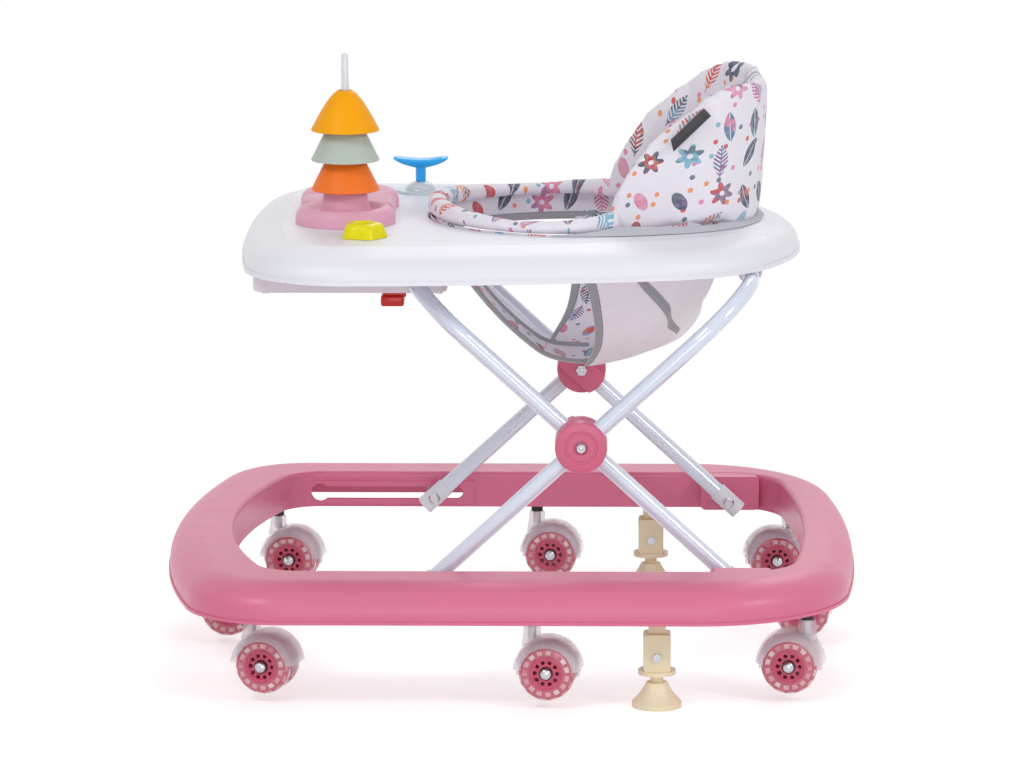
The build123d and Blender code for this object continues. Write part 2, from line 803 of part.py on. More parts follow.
# Hub bolts: domed head outside, nut inside
bolt_outside = outer_leg_offset + leg_radius + hub_disc_cover
bolt_inside = inner_leg_offset - leg_radius - hub_disc_cover - face_gap
with BuildPart() as hub_bolts:
    for side in (-1, 1):
        add(cross_bore(hub_x, hub_z, side * bolt_inside, side * bolt_outside, hub_bolt_diameter / 2))
        with BuildSketch(Plane.XZ.offset(-side * bolt_outside)):
            with Locations((hub_x, hub_z)):
                Circle(bolt_head_diameter / 2)
        extrude(amount=-side * bolt_head_height, taper=30)
        with BuildSketch(Plane.XZ.offset(-side * bolt_inside)):
            with Locations((hub_x, hub_z)):
                RegularPolygon(bolt_head_diameter / 2, 6)
        extrude(amount=side * bolt_head_height)
write(hub_bolts.part, "hub_bolts")

# Rear pivot bolts: headed inside, set in the base's step
with BuildPart() as rear_pivot_bolts:
    for side in (-1, 1):
        head_face = inner_leg_offset - end_cap_diameter / 2 - face_gap
        add(cross_bore(pivot_x, pivot_z, side * head_face, side * pivot_bolt_end, pivot_bolt_diameter / 2))
        with BuildSketch(Plane.XZ.offset(-side * head_face)):
            with Locations((pivot_x, pivot_z)):
                Circle(bolt_head_diameter / 2)
        extrude(amount=side * bolt_head_height, taper=30)
write(rear_pivot_bolts.part, "rear_pivot_bolts")

# Slide pins: through the outer legs' ends, riding in the base's slots
with BuildPart() as slide_pins:
    for side in (-1, 1):
        head_face = outer_leg_offset - end_cap_diameter / 2
        flange_face = wall_back + face_gap
        flange_back = flange_face + slot_pad_rise
        collar_face = slot_face - face_gap
        add(cross_bore(slide_pin_x, pivot_z, side * head_face, side * collar_face, pivot_bolt_diameter / 2))
        with BuildSketch(Plane.XZ.offset(-side * head_face)):
            with Locations((slide_pin_x, pivot_z)):
                Circle(bolt_head_diameter / 2)
        extrude(amount=side * bolt_head_height, taper=30)
        add(
            cross_bore(
                slide_pin_x, pivot_z, side * end_cap_face, side * collar_face, slide_collar_diameter / 2
            )
        )
        add(cross_bore(slide_pin_x, pivot_z, side * collar_face, side * flange_back, slide_pin_diameter / 2))
        add(
            cross_bore(
                slide_pin_x, pivot_z, side * flange_face, side * flange_back, slide_flange_diameter / 2
            )
        )
write(slide_pins.part, "slide_pins")

# Places of the latch pan, its posts and the clamps
bar_front = bar_x_in_tray(leg_folded_angle)
bar_rear = bar_x_in_tray(leg_raised_angle)
pan_rim = bar_z - leg_radius - pan_bar_room
pan_under = pan_rim - pan_depth
pan_floor = pan_under + pan_wall
post_radius = post_diameter / 2
post_rear_x = bar_rear + leg_radius + 3 * face_gap + post_radius
post_front_x = -pan_front + post_front_inset
pan_rear = post_rear_x + post_radius + pan_wall
post_points = [
    (post_front_x, -post_side),
    (post_front_x, post_side),
    (post_rear_x, -post_side),
    (post_rear_x, post_side),
]
clamp_top = tray_top - clamp_drop
clamp_points = [(outer_bar_x, -clamp_offset), (outer_bar_x, clamp_offset)]
clamp_screw_points = [
    (outer_bar_x + along * clamp_screw_spacing / 2, side * clamp_offset)
    for along in (-1, 1)
    for side in (-1, 1)
]

# Hollow under the tray, with the seat hole's lip, posts and clamp pads left standing
tray_side_foot = tray_rim + tray_bead_height
tray_round_foot = tray_side_foot + tray_side_height
with BuildPart() as tray_hollow:
    with BuildSketch(Plane.XY.offset(tray_rim - tray_wall)):
        add(tray_face(tray_bead_step + tray_wall))
    for inset, height in crown_levels(
        tray_round_foot - tray_wall, tray_under, tray_bead_step + tray_wall, tray_round_width, crown_steps
    ):
        with BuildSketch(Plane.XY.offset(height)):
            add(tray_face(inset))
    loft()
    with BuildSketch(Plane.XY.offset(tray_top - seat_hole_lip)):
        with Locations((seat_hole_x, 0)):
            SlotOverall(seat_hole_length + 2 * tray_wall, seat_hole_width + 2 * tray_wall)
    extrude(amount=seat_hole_lip, mode=Mode.SUBTRACT)
    with BuildSketch(Plane.XY.offset(tray_rim - 2 * tray_wall)):
        with Locations(*post_points):
            Circle(post_radius)
    extrude(amount=2 * tray_depth, mode=Mode.SUBTRACT)
    with BuildSketch(Plane.XY.offset(clamp_top)):
        with Locations(*clamp_points):
            Rectangle(clamp_flange_length, clamp_width)
    extrude(amount=clamp_drop, mode=Mode.SUBTRACT)

# Tray shell
with BuildPart() as tray_shell:
    with BuildSketch(Plane.XY.offset(tray_rim)):
        add(tray_face(0))
    extrude(amount=tray_bead_height)
    with BuildSketch(Plane.XY.offset(tray_side_foot)):
        add(tray_face(tray_bead_step))
    for inset, height in crown_levels(tray_round_foot, tray_top, tray_bead_step, tray_round_width, crown_steps):
        with BuildSketch(Plane.XY.offset(height)):
            add(tray_face(inset))
    loft()
    with BuildSketch(Plane.XY.offset(tray_top)):
        add(tray_face(0))
    extrude(amount=tray_depth, mode=Mode.SUBTRACT)
    add(tray_hollow.part, mode=Mode.SUBTRACT)
    with BuildSketch(Plane.XY.offset(tray_rim)):
        with Locations((seat_hole_x, 0)):
            SlotOverall(seat_hole_length, seat_hole_width)
    extrude(amount=2 * tray_depth, mode=Mode.SUBTRACT)
    top_face = tray_shell.faces().filter_by(Plane.XY).sort_by(Axis.Z)[-1]
    fillet(top_face.inner_wires()[0].edges(), seat_hole_round)
    with BuildSketch(Plane.XY.offset(pan_floor)):
        with Locations(*post_points):
            Circle(post_radius)
    extrude(amount=tray_rim + tray_bead_height - pan_floor)
    with BuildSketch(Plane.XY.offset(pan_floor)):
        with Locations(*post_points):
            Circle(screw_diameter / 2 + run_gap)
    extrude(amount=screw_length, mode=Mode.SUBTRACT)
    with BuildSketch(Plane.XY.offset(clamp_top)):
        with Locations(*clamp_screw_points):
            Circle(screw_diameter / 2 + run_gap)
    extrude(amount=clamp_drop - tray_wall, mode=Mode.SUBTRACT)
    with BuildSketch(Plane.XY.offset(tray_under)):
        with Locations((knob_x, knob_y)):
            Circle(knob_pin_diameter / 2)
    extrude(amount=tray_wall + knob_pin_height)
write(tray_shell.part, "tray_shell")

# Latch pan: shallow tray that the front crossbar slides over, with a post for the lever's spring
pan_nose_x = bar_front - leg_radius - 3 * face_gap
spring_radius = (spring_diameter - spring_wire) / 2
spring_start_x = lever_x + lever_width / 2 + lever_plate_margin + soft_gap + spring_wire / 2
spring_end_x = spring_start_x + spring_loops * spring_pitch + spring_wire / 2
spring_z = pan_floor + soft_gap + spring_diameter / 2
with BuildPart() as latch_pan:
    with BuildSketch(Plane.XY.offset(pan_under)):
        with Locations(((pan_rear - pan_front) / 2, 0)):
            RectangleRounded(pan_front + pan_rear, 2 * pan_half_width, pan_corner)
    extrude(amount=pan_depth)
    fillet(latch_pan.faces().sort_by(Axis.Z)[0].edges(), pan_edge_round)
    with BuildSketch(Plane.XY.offset(pan_floor)):
        with Locations(((pan_rear - pan_front) / 2, 0)):
            RectangleRounded(
                pan_front + pan_rear - 2 * pan_wall, 2 * (pan_half_width - pan_wall), pan_corner - pan_wall
            )
    extrude(amount=pan_depth, mode=Mode.SUBTRACT)
    with BuildSketch(Plane.XY.offset(pan_under)):
        with Locations(*post_points):
            Circle(screw_diameter / 2 + run_gap)
        with Locations((lever_x - lever_travel / 2, 0)):
            Rectangle(lever_width + lever_travel + 2 * face_gap, lever_length + 2 * face_gap)
    extrude(amount=pan_wall, mode=Mode.SUBTRACT)
    with BuildSketch(Plane.XY.offset(pan_rim)):
        with Locations(((pan_rear - pan_front) / 2, 0)):
            RectangleRounded(pan_front + pan_rear, 2 * pan_half_width, pan_corner)
            RectangleRounded(
                pan_front + pan_rear - 2 * pan_wall,
                2 * (pan_half_width - pan_wall),
                pan_corner - pan_wall,
                mode=Mode.SUBTRACT,
            )
        with Locations((pan_nose_x + pan_front, 0)):
            Rectangle(2 * pan_front, 2 * pan_half_width, mode=Mode.SUBTRACT)
    extrude(amount=tray_rim + pan_nose_rise - pan_rim)
    with BuildSketch(Plane.XY.offset(pan_floor)):
        with Locations((spring_end_x + soft_gap + spring_post_diameter / 2, 0)):
            Circle(spring_post_diameter / 2)
    extrude(amount=pan_rim - pan_floor)
write(latch_pan.part, "latch_pan")

# Height racks: toothed strips on the pan's floor, below the crossbar
rack_front = bar_front - leg_radius
rack_length = bar_rear + leg_radius - rack_front
tooth_count = int(rack_length // rack_tooth_pitch)
with BuildPart() as height_racks:
    for side in (-1, 1):
        with BuildSketch(Plane.XZ.offset(-side * rack_offset)):
            with Locations((rack_front + rack_length / 2, pan_floor + rack_height / 2)):
                Rectangle(rack_length, rack_height)
            for tooth in range(tooth_count):
                with Locations((rack_front + (tooth + 0.5) * rack_tooth_pitch, pan_floor + rack_height)):
                    Rectangle(rack_tooth_pitch / 2, 2 * rack_tooth_depth, mode=Mode.SUBTRACT)
        extrude(amount=rack_width / 2, both=True)
write(height_racks.part, "height_racks")

# Release lever: a tab below the pan and a plate that slides on its floor
with BuildPart() as release_lever:
    with BuildSketch(Plane.XY.offset(pan_under - lever_drop)):
        with Locations((lever_x, 0)):
            RectangleRounded(lever_width, lever_length, lever_corner)
    extrude(amount=lever_drop + pan_wall + soft_gap)
    fillet(release_lever.faces().sort_by(Axis.Z)[0].edges(), lever_corner / 2)
    with BuildSketch(Plane.XY.offset(pan_floor + soft_gap)):
        with Locations((lever_x, 0)):
            RectangleRounded(
                lever_width + 2 * lever_plate_margin, lever_length + 4 * lever_plate_margin, lever_corner
            )
    extrude(amount=lever_plate_height)
write(release_lever.part, "release_lever")

# Lever spring: a small coil between the lever's plate and the pan's post
with BuildPart() as lever_spring:
    with BuildLine():
        coil = Helix(
            pitch=spring_pitch,
            height=spring_loops * spring_pitch,
            radius=spring_radius,
            center=(spring_start_x, 0, spring_z),
            direction=(1, 0, 0),
        )
    with BuildSketch(Plane(origin=coil @ 0, z_dir=coil % 0)):
        Circle(spring_wire / 2)
    sweep(path=coil, is_frenet=True)
write(lever_spring.part, "lever_spring")

# Clamps that hold the rear crossbar under the tray
with BuildPart() as rear_bar_clamps:
    for x, y in clamp_points:
        with BuildSketch(Plane.XZ.offset(-y)):
            with Locations((x, bar_z)):
                Circle(leg_radius + clamp_wall)
            with Locations((x, (bar_z + clamp_top) / 2)):
                Rectangle(leg_diameter + 2 * clamp_wall, clamp_top - bar_z)
            with Locations((x, clamp_top - clamp_flange_height / 2)):
                Rectangle(clamp_flange_length, clamp_flange_height)
            with Locations((x, bar_z)):
                Circle(leg_radius + run_gap, mode=Mode.SUBTRACT)
        extrude(amount=clamp_width / 2, both=True)
    with BuildSketch(Plane.XY.offset(clamp_top - clamp_flange_height)):
        with Locations(*clamp_screw_points):
            Circle(screw_diameter / 2 + run_gap)
    extrude(amount=clamp_flange_height, mode=Mode.SUBTRACT)
write(rear_bar_clamps.part, "rear_bar_clamps")

# Screws of the pan and the clamps
with BuildPart() as tray_screws:
    for points, head_z in (
        (post_points, pan_under),
        (clamp_screw_points, clamp_top - clamp_flange_height),
    ):
        with BuildSketch(Plane.XY.offset(head_z)):
            with Locations(*points):
                Circle(screw_head_diameter / 2)
        extrude(amount=-screw_head_height)
        shank = screw_length
        if head_z > pan_under:
            shank = clamp_flange_height + clamp_drop - 2 * tray_wall
        with BuildSketch(Plane.XY.offset(head_z)):
            with Locations(*points):
                Circle(screw_diameter / 2)
        extrude(amount=shank)
write(tray_screws.part, "tray_screws")

# Seat collar: padded roll round the front of the seat hole, slumped low at both sides
seat_floor = tray_top + soft_gap
collar_front_x = seat_hole_x - seat_hole_length / 2 - 2 * collar_outside
collar_side = seat_hole_width / 2 + collar_outside
with BuildPart() as seat_collar:
    with BuildSketch(Plane.XY.offset(seat_floor)):
        with Locations((seat_hole_x, 0)):
            SlotOverall(seat_hole_length + 2 * collar_outside, seat_hole_width + 2 * collar_outside)
            SlotOverall(
                seat_hole_length - 2 * collar_inside, seat_hole_width - 2 * collar_inside, mode=Mode.SUBTRACT
            )
    extrude(amount=collar_front_height + collar_rear_height)
    with BuildSketch(Plane.XZ):
        with BuildLine():
            crest = ThreePointArc(
                (collar_front_x, seat_floor + collar_front_height),
                (collar_low_x, seat_floor + collar_side_height),
                (collar_rear_x, seat_floor + collar_rear_height),
            )
            Polyline(crest @ 1, (collar_rear_x, seat_floor), (collar_front_x, seat_floor), crest @ 0)
        make_face()
    extrude(amount=collar_side, both=True, mode=Mode.INTERSECT)
    crest_edges = seat_collar.faces().filter_by(GeomType.CYLINDER).sort_by(SortBy.AREA)[-1].edges()
    fillet(crest_edges.filter_by(lambda edge: edge.length > 2 * collar_inside), collar_crown)
write(seat_collar.part, "seat_collar")


def back_face(height, inset):
    """Plan of the backrest at a height above its foot, drawn in by an inset."""
    rise = height / back_height
    half_width = back_half_width + back_flare * rise - inset
    rear = back_rear_x + back_rake * rise - inset
    with BuildSketch() as plan:
        with Locations(((back_front_x + rear) / 2, 0)):
            Rectangle(rear - back_front_x, 2 * half_width)
        fillet(plan.vertices().sort_by(Axis.X)[-2:], back_corner - inset)
    return plan.sketch


def back_wall(outside, inside, margin):
    """Wrap-around wall between two insets, cut to the wings' sloping edge."""
    with BuildPart() as wall:
        for height in (0, back_height):
            with BuildSketch(Plane.XY.offset(seat_floor + height)):
                add(back_face(height, outside))
        loft()
        for height in (0, back_height):
            with BuildSketch(Plane.XY.offset(seat_floor + height)):
                add(back_face(height, inside))
        loft(mode=Mode.SUBTRACT)
        with BuildSketch(Plane.XZ):
            with BuildLine():
                back_end = back_rear_x + back_rake
                edge = ThreePointArc(
                    (back_front_x + margin, seat_floor + back_wing_height),
                    (back_wing_mid_x + margin, seat_floor + back_wing_mid_height - margin / 2),
                    (back_end, seat_floor + back_height - margin),
                )
                Polyline(
                    edge @ 1,
                    (back_end, seat_floor + margin / 2),
                    (back_front_x + margin, seat_floor + margin / 2),
                    edge @ 0,
                )
            make_face()
        extrude(amount=base_half_width, both=True, mode=Mode.INTERSECT)
    return wall.part


# Backrest: a stiff board in a padded cover
board_inset = (back_thickness - board_thickness) / 2
with BuildPart() as backrest_board:
    add(back_wall(board_inset, board_inset + board_thickness, board_margin))
write(backrest_board.part, "backrest_board")

with BuildPart() as backrest_cover:
    add(back_wall(0, back_thickness, 0))
    wing_edges = backrest_cover.faces().filter_by(GeomType.CYLINDER).edges()
    fillet(wing_edges.filter_by(lambda edge: edge.length > 2 * back_thickness), back_edge_round)
    add(
        back_wall(board_inset - soft_gap, board_inset + board_thickness + soft_gap, board_margin - soft_gap),
        mode=Mode.SUBTRACT,
    )
write(backrest_cover.part, "backrest_cover")

# Edge clips on the wings
wing_slope = (back_height - back_wing_mid_height) / (back_rear_x + back_rake - back_wing_mid_x)
clip_rise = back_wing_mid_height + wing_slope * (clip_x - back_wing_mid_x) - clip_width
wing_lean = back_flare / back_height
clip_face = back_half_width + wing_lean * clip_rise + soft_gap
with BuildPart() as backrest_clips:
    for side in (-1, 1):
        clip_centre = (clip_x, side * clip_face, seat_floor + clip_rise)
        with BuildSketch(Plane(origin=clip_centre, x_dir=(1, 0, wing_slope), z_dir=(0, side, -wing_lean))):
            SlotOverall(clip_length, clip_width)
        extrude(amount=clip_thickness)
write(backrest_clips.part, "backrest_clips")


def pouch_face(reach, half_width):
    """Plan of the hanging pouch at one level: straight in front, round behind."""
    halfway_x = pouch_front_x + reach * cos(radians(45))
    halfway_y = half_width * sin(radians(45))
    rear = pouch_front_x + reach
    with BuildSketch() as plan:
        with BuildLine():
            ThreePointArc((pouch_front_x, -half_width), (halfway_x, -halfway_y), (rear, 0))
            ThreePointArc((rear, 0), (halfway_x, halfway_y), (pouch_front_x, half_width))
            Line((pouch_front_x, half_width), (pouch_front_x, -half_width))
        make_face()
    return plan.sketch


# Seat sling: a pouch behind, open for both legs, and a strap up to the front of the hole
pouch_front_x = seat_hole_x + (seat_hole_length - seat_hole_width) / 2
pouch_rim = seat_hole_width / 2 - soft_gap
pouch_top_rim = pouch_rim - soft_gap
pouch_rows = [(hoop_depth - sling_thickness, pouch_top_rim, pouch_top_rim)] + pouch_levels
sling_foot = tray_top - sling_depth
hole_front_centre = seat_hole_x - (seat_hole_length - seat_hole_width) / 2
strap_front = hole_front_centre - sqrt(pouch_rim**2 - strap_half_width**2)
strap_toe_x = pouch_front_x + 2 * sling_thickness
with BuildPart() as seat_sling:
    for drop, reach, half_width in pouch_rows:
        with BuildSketch(Plane.XY.offset(tray_top - drop)):
            add(pouch_face(reach, half_width))
    loft()
    for drop, reach, half_width in pouch_rows:
        with BuildSketch(Plane.XY.offset(tray_top - drop + sling_thickness)):
            add(pouch_face(reach - sling_thickness, half_width - sling_thickness))
    loft(mode=Mode.SUBTRACT)
    with BuildSketch(Plane.XZ):
        with BuildLine():
            outer_run = ThreePointArc(
                (strap_front, tray_top),
                (strap_bend_x, tray_top - strap_bend_drop),
                (strap_knee_x, tray_top - strap_knee_drop),
            )
            outer_toe = TangentArc(
                outer_run @ 1, (strap_toe_x, sling_foot + soft_gap), tangent=outer_run % 1
            )
            inner_run = ThreePointArc(
                (strap_front + sling_thickness, tray_top),
                (strap_bend_x + sling_thickness, tray_top - strap_bend_drop + sling_thickness / 2),
                (strap_knee_x + sling_thickness, tray_top - strap_knee_drop + sling_thickness),
            )
            inner_toe = TangentArc(
                inner_run @ 1,
                (strap_toe_x, sling_foot + sling_thickness - soft_gap),
                tangent=inner_run % 1,
            )
            Line(outer_toe @ 1, inner_toe @ 1)
            Line(inner_run @ 0, outer_run @ 0)
        make_face()
    extrude(amount=strap_half_width, both=True)
    with BuildSketch(Plane.XY.offset(tray_top)):
        with Locations((seat_hole_x, 0)):
            SlotOverall(seat_hole_length - 2 * soft_gap, seat_hole_width - 2 * soft_gap)
            SlotOverall(
                seat_hole_length - 2 * (soft_gap + sling_thickness),
                seat_hole_width - 2 * (soft_gap + sling_thickness),
                mode=Mode.SUBTRACT,
            )
    extrude(amount=-hoop_depth)
write(seat_sling.part, "seat_sling")

# Toy base: two round lobes, with a cone boss on the near one, moulded in one
stack_y = -toy_lobe_spread / 2
post_radius_base = post_base_diameter / 2
with BuildPart() as toy_base:
    with BuildSketch(Plane.XY.offset(tray_top)) as toy_plan:
        with Locations((toy_x, stack_y), (toy_x, -stack_y)):
            Circle(toy_lobe_diameter / 2)
        with Locations((toy_x, 0)):
            Rectangle(toy_waist_width, toy_lobe_spread)
        fillet(toy_plan.vertices(), toy_waist_round)
    extrude(amount=toy_base_height)
    fillet(toy_base.faces().sort_by(Axis.Z)[-1].edges(), toy_base_round)
    with BuildSketch(Plane.XY.offset(tray_top + toy_base_height)):
        with Locations((toy_x, stack_y)):
            Circle(toy_boss_diameter / 2)
    with BuildSketch(Plane.XY.offset(tray_top + toy_base_height + toy_boss_height)):
        with Locations((toy_x, stack_y)):
            Circle(toy_boss_top_diameter / 2)
    loft()
    with BuildSketch(Plane.XY.offset(tray_top)):
        with Locations((toy_x, stack_y)):
            Circle(post_radius_base + run_gap)
    extrude(amount=toy_base_height + toy_boss_height, mode=Mode.SUBTRACT)
write(toy_base.part, "toy_base")

# Toy post: a tapered peg with a round tip
with BuildPart() as toy_post:
    with BuildSketch(Plane(origin=(toy_x, stack_y, tray_top), x_dir=(1, 0, 0), z_dir=(0, -1, 0))):
        with BuildLine():
            tip = post_tip_diameter / 2
            foot_height = toy_base_height + toy_boss_height
            Polyline((0, 0), (post_radius_base, 0), (post_radius_base, foot_height), (tip, post_height - tip))
            RadiusArc((tip, post_height - tip), (0, post_height), -tip)
            Line((0, post_height), (0, 0))
        make_face()
    revolve(axis=Axis((toy_x, stack_y, tray_top), (0, 0, 1)))
write(toy_post.part, "toy_post")

# Stacking cups: cones that seat on each other and lift off the peg
cup_foot = tray_top + toy_base_height + toy_boss_height - cup_nest + soft_gap
cup_pitch = cup_height - cup_nest + soft_gap
bore_radius = post_radius_base + post_bore_room
for level, name in enumerate(("orange", "grey", "yellow")):
    rim_z = cup_foot + level * cup_pitch
    top_diameter = cup_top_diameter
    height = cup_height
    if name == "yellow":
        top_diameter = cone_top_diameter
        height = cone_height
    with BuildPart() as cup:
        with BuildSketch(Plane.XY.offset(rim_z)):
            with Locations((toy_x, stack_y)):
                Circle(cup_rim_diameter / 2)
        with BuildSketch(Plane.XY.offset(rim_z + height)):
            with Locations((toy_x, stack_y)):
                Circle(top_diameter / 2)
        loft()
        if name == "yellow":
            fillet(cup.faces().sort_by(Axis.Z)[-1].edges(), cone_round)
        with BuildSketch(Plane.XY.offset(rim_z)):
            with Locations((toy_x, stack_y)):
                Circle(cup_rim_diameter / 2 - cup_wall)
        extrude(amount=cup_nest, taper=cup_draft, mode=Mode.SUBTRACT)
        with BuildSketch(Plane.XY.offset(rim_z)):
            with Locations((toy_x, stack_y)):
                Circle(bore_radius)
        extrude(amount=height, mode=Mode.SUBTRACT)
    write(cup.part, f"cup_{name}")

# Spinner: a dome with a pin, and a two-bladed rotor
with BuildPart() as spinner_base:
    with BuildSketch(Plane(origin=(spinner_x, spinner_y, tray_top), x_dir=(1, 0, 0), z_dir=(0, -1, 0))):
        with BuildLine():
            dome = ThreePointArc(
                (spinner_dome_diameter / 2, spinner_flange_height),
                (
                    spinner_dome_diameter / 2 * cos(radians(45)),
                    spinner_flange_height + (spinner_dome_height - spinner_flange_height) * sin(radians(45)),
                ),
                (spinner_pin_diameter / 2, spinner_dome_height),
            )
            Polyline(
                dome @ 1,
                (spinner_pin_diameter / 2, spinner_dome_height + spinner_pin_height),
                (0, spinner_dome_height + spinner_pin_height),
                (0, 0),
                (spinner_flange_diameter / 2, 0),
                (spinner_flange_diameter / 2, spinner_flange_height),
                dome @ 0,
            )
        make_face()
    revolve(axis=Axis((spinner_x, spinner_y, tray_top), (0, 0, 1)))
write(spinner_base.part, "spinner_base")

spinner_foot = tray_top + spinner_dome_height + soft_gap
with BuildPart() as spinner_rotor:
    with BuildSketch(Plane.XY.offset(spinner_foot)):
        with Locations((spinner_x, spinner_y)):
            Circle(spinner_stem_diameter / 2)
    extrude(amount=spinner_height - spinner_dome_height)
    with BuildSketch(Plane.XY.offset(tray_top + spinner_height)):
        with Locations((spinner_x, spinner_y)):
            SlotOverall(spinner_span, spinner_blade_width)
    extrude(amount=-spinner_blade_thickness)
    with BuildSketch(Plane.XY.offset(spinner_foot)):
        with Locations((spinner_x, spinner_y)):
            Circle(spinner_pin_diameter / 2 + run_gap)
    extrude(amount=spinner_pin_height + face_gap, mode=Mode.SUBTRACT)
write(spinner_rotor.part, "spinner_rotor")

# Turning knob on the pin of the tray
with BuildPart() as turning_knob:
    with BuildSketch(Plane.XY.offset(tray_top + soft_gap)):
        with Locations((knob_x, knob_y)):
            Circle((knob_diameter - knob_lobe_diameter) / 2)
            with PolarLocations((knob_diameter - knob_lobe_diameter) / 2, knob_lobe_count):
                Circle(knob_lobe_diameter / 2)
    extrude(amount=knob_height)
    fillet(turning_knob.faces().sort_by(Axis.Z)[-1].edges(), knob_round)
    with BuildSketch(Plane.XY.offset(tray_top)):
        with Locations((knob_x, knob_y)):
            Circle(knob_pin_diameter / 2 + run_gap)
    extrude(amount=knob_pin_height + face_gap, mode=Mode.SUBTRACT)
write(turning_knob.part, "turning_knob")
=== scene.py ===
# %% [markdown]
# # Folding baby walker
# The walker is a rounded base ring on eight casters, two crossed pairs of white tubes,
# a tray with toys, and a cloth seat that hangs in the tray's hole. The rigid shapes come
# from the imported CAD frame, and this lesson gives them their finishes and sews the seat.

# %% Load the frame
import json
from math import asin, atan2, copysign, cos, hypot, pi, radians, remainder, sin

import bmesh
import bpy
from mathutils import Matrix, Vector, noise


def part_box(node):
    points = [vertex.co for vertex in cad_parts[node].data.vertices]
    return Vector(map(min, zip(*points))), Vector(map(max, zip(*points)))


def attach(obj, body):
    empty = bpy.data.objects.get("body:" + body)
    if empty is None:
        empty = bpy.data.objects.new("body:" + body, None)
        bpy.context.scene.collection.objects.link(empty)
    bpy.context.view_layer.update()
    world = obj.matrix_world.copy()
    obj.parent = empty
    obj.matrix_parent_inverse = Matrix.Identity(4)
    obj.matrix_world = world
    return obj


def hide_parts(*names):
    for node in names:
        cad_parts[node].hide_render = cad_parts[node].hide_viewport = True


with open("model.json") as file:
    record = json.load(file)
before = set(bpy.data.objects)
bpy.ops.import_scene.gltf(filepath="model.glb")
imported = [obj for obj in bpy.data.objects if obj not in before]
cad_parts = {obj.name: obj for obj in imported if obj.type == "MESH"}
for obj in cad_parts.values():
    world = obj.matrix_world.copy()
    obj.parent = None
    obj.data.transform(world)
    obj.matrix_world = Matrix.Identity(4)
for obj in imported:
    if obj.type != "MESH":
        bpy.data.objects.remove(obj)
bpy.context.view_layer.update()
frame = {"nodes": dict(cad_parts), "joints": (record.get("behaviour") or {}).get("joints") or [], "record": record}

MM = 0.001
nodes = frame["nodes"]
joints = {joint["name"]: joint for joint in frame["joints"]}
slot_of_node = {row["node"]: row["material_slot"] for row in frame["record"]["subparts"]}
scene = bpy.context.scene
print("CAD nodes:", len(nodes), "joints:", len(joints))

# %% [markdown]
# ## Camera
# The photograph was taken from the walker's near side, a little above the tray, with a
# long lens from far away, so lines stay almost parallel. The camera's place comes from
# matching the frame's corners to the picture, and its lens from the field of view.

# %% Camera
camera_data = bpy.data.cameras.new("camera")
camera_data.sensor_width = 36.0
camera_data.lens = 202.29
camera_data.clip_end = 50.0
camera = bpy.data.objects.new("camera", camera_data)
camera_pitch = 0.1836
camera_turn = 0.0129
camera.location = (0.07272, -5.62098, 1.30695)
camera.rotation_euler = (pi / 2 - camera_pitch, 0.0, camera_turn)
scene.collection.objects.link(camera)
scene.camera = camera
print("camera lens", camera_data.lens)

# %% [markdown]
# ## Stage and light
# A product picture has a white surround and even light. Two smaller lamps in front draw the
# highlights on the tubes, and two larger ones soften the shadows. The floor is a plain sheet
# that takes the walker's shadow and fades to white a little way from it, so the surround needs
# no strong lamps and the pale tray keeps its shading.

# %% Shader helpers
def feed(socket, value):
    """Set a value on a socket, or link it when it comes from another node."""
    if isinstance(value, bpy.types.NodeSocket):
        socket.id_data.links.new(value, socket)
    else:
        socket.default_value = value


def wire(node, **inputs):
    """Feed a node's inputs, named as on the node, with _ for a space."""
    for name, value in inputs.items():
        feed(node.inputs[name.replace("_", " ")], value)


def add_node(tree, kind, settings=None, **inputs):
    """Add a shader node with its settings and inputs."""
    node = tree.nodes.new("ShaderNode" + kind)
    for name, value in (settings or {}).items():
        setattr(node, name, value)
    wire(node, **inputs)
    return node


def filled(node, *values):
    """The result of a node whose inputs are fed in their order."""
    for socket, value in zip(node.inputs, values):
        feed(socket, value)
    return node.outputs[0]


def calc(operation, *values):
    """A Math node's result, in the tree that its values come from."""
    tree = next(value for value in values if isinstance(value, bpy.types.NodeSocket)).id_data
    return filled(add_node(tree, "Math", {"operation": operation}), *values)


def times(first, second):
    """The product of two values."""
    return calc("MULTIPLY", first, second)


def mixed(factor, first, second):
    """A colour between two others."""
    node = add_node(factor.id_data, "Mix", {"data_type": "RGBA"}, Factor=factor)
    feed(node.inputs[6], first)
    feed(node.inputs[7], second)
    return node.outputs[2]


def start_material(name, uv_map=None):
    """A new material with its shader and coordinates: a UV map's, or the object's own."""
    material = bpy.data.materials.new(name)
    material.use_nodes = True
    tree = material.node_tree
    if uv_map:
        where = add_node(tree, "UVMap", {"uv_map": uv_map}).outputs["UV"]
    else:
        where = add_node(tree, "TexCoord").outputs["Object"]
    return material, tree.nodes["Principled BSDF"], where


def shown_to_camera(tree):
    """1 where the camera, a mirror or a glass looks, and 0 for the light on the object."""
    path = add_node(tree, "LightPath").outputs
    seen = calc("MAXIMUM", path["Is Camera Ray"], path["Is Glossy Ray"])
    return calc("MAXIMUM", seen, path["Is Transmission Ray"])


print("shader helpers ready")

# %% World
world = bpy.data.worlds.new("studio")
world.use_nodes = True
scene.world = world
world_tree = world.node_tree
world_light = 0.56
world_grey = (world_light, world_light, world_light, 1)
surround = mixed(shown_to_camera(world_tree), world_grey, (1, 1, 1, 1))
wire(world_tree.nodes["Background"], Color=surround)
scene.view_settings.view_transform = "Standard"
print("world light", world_light)

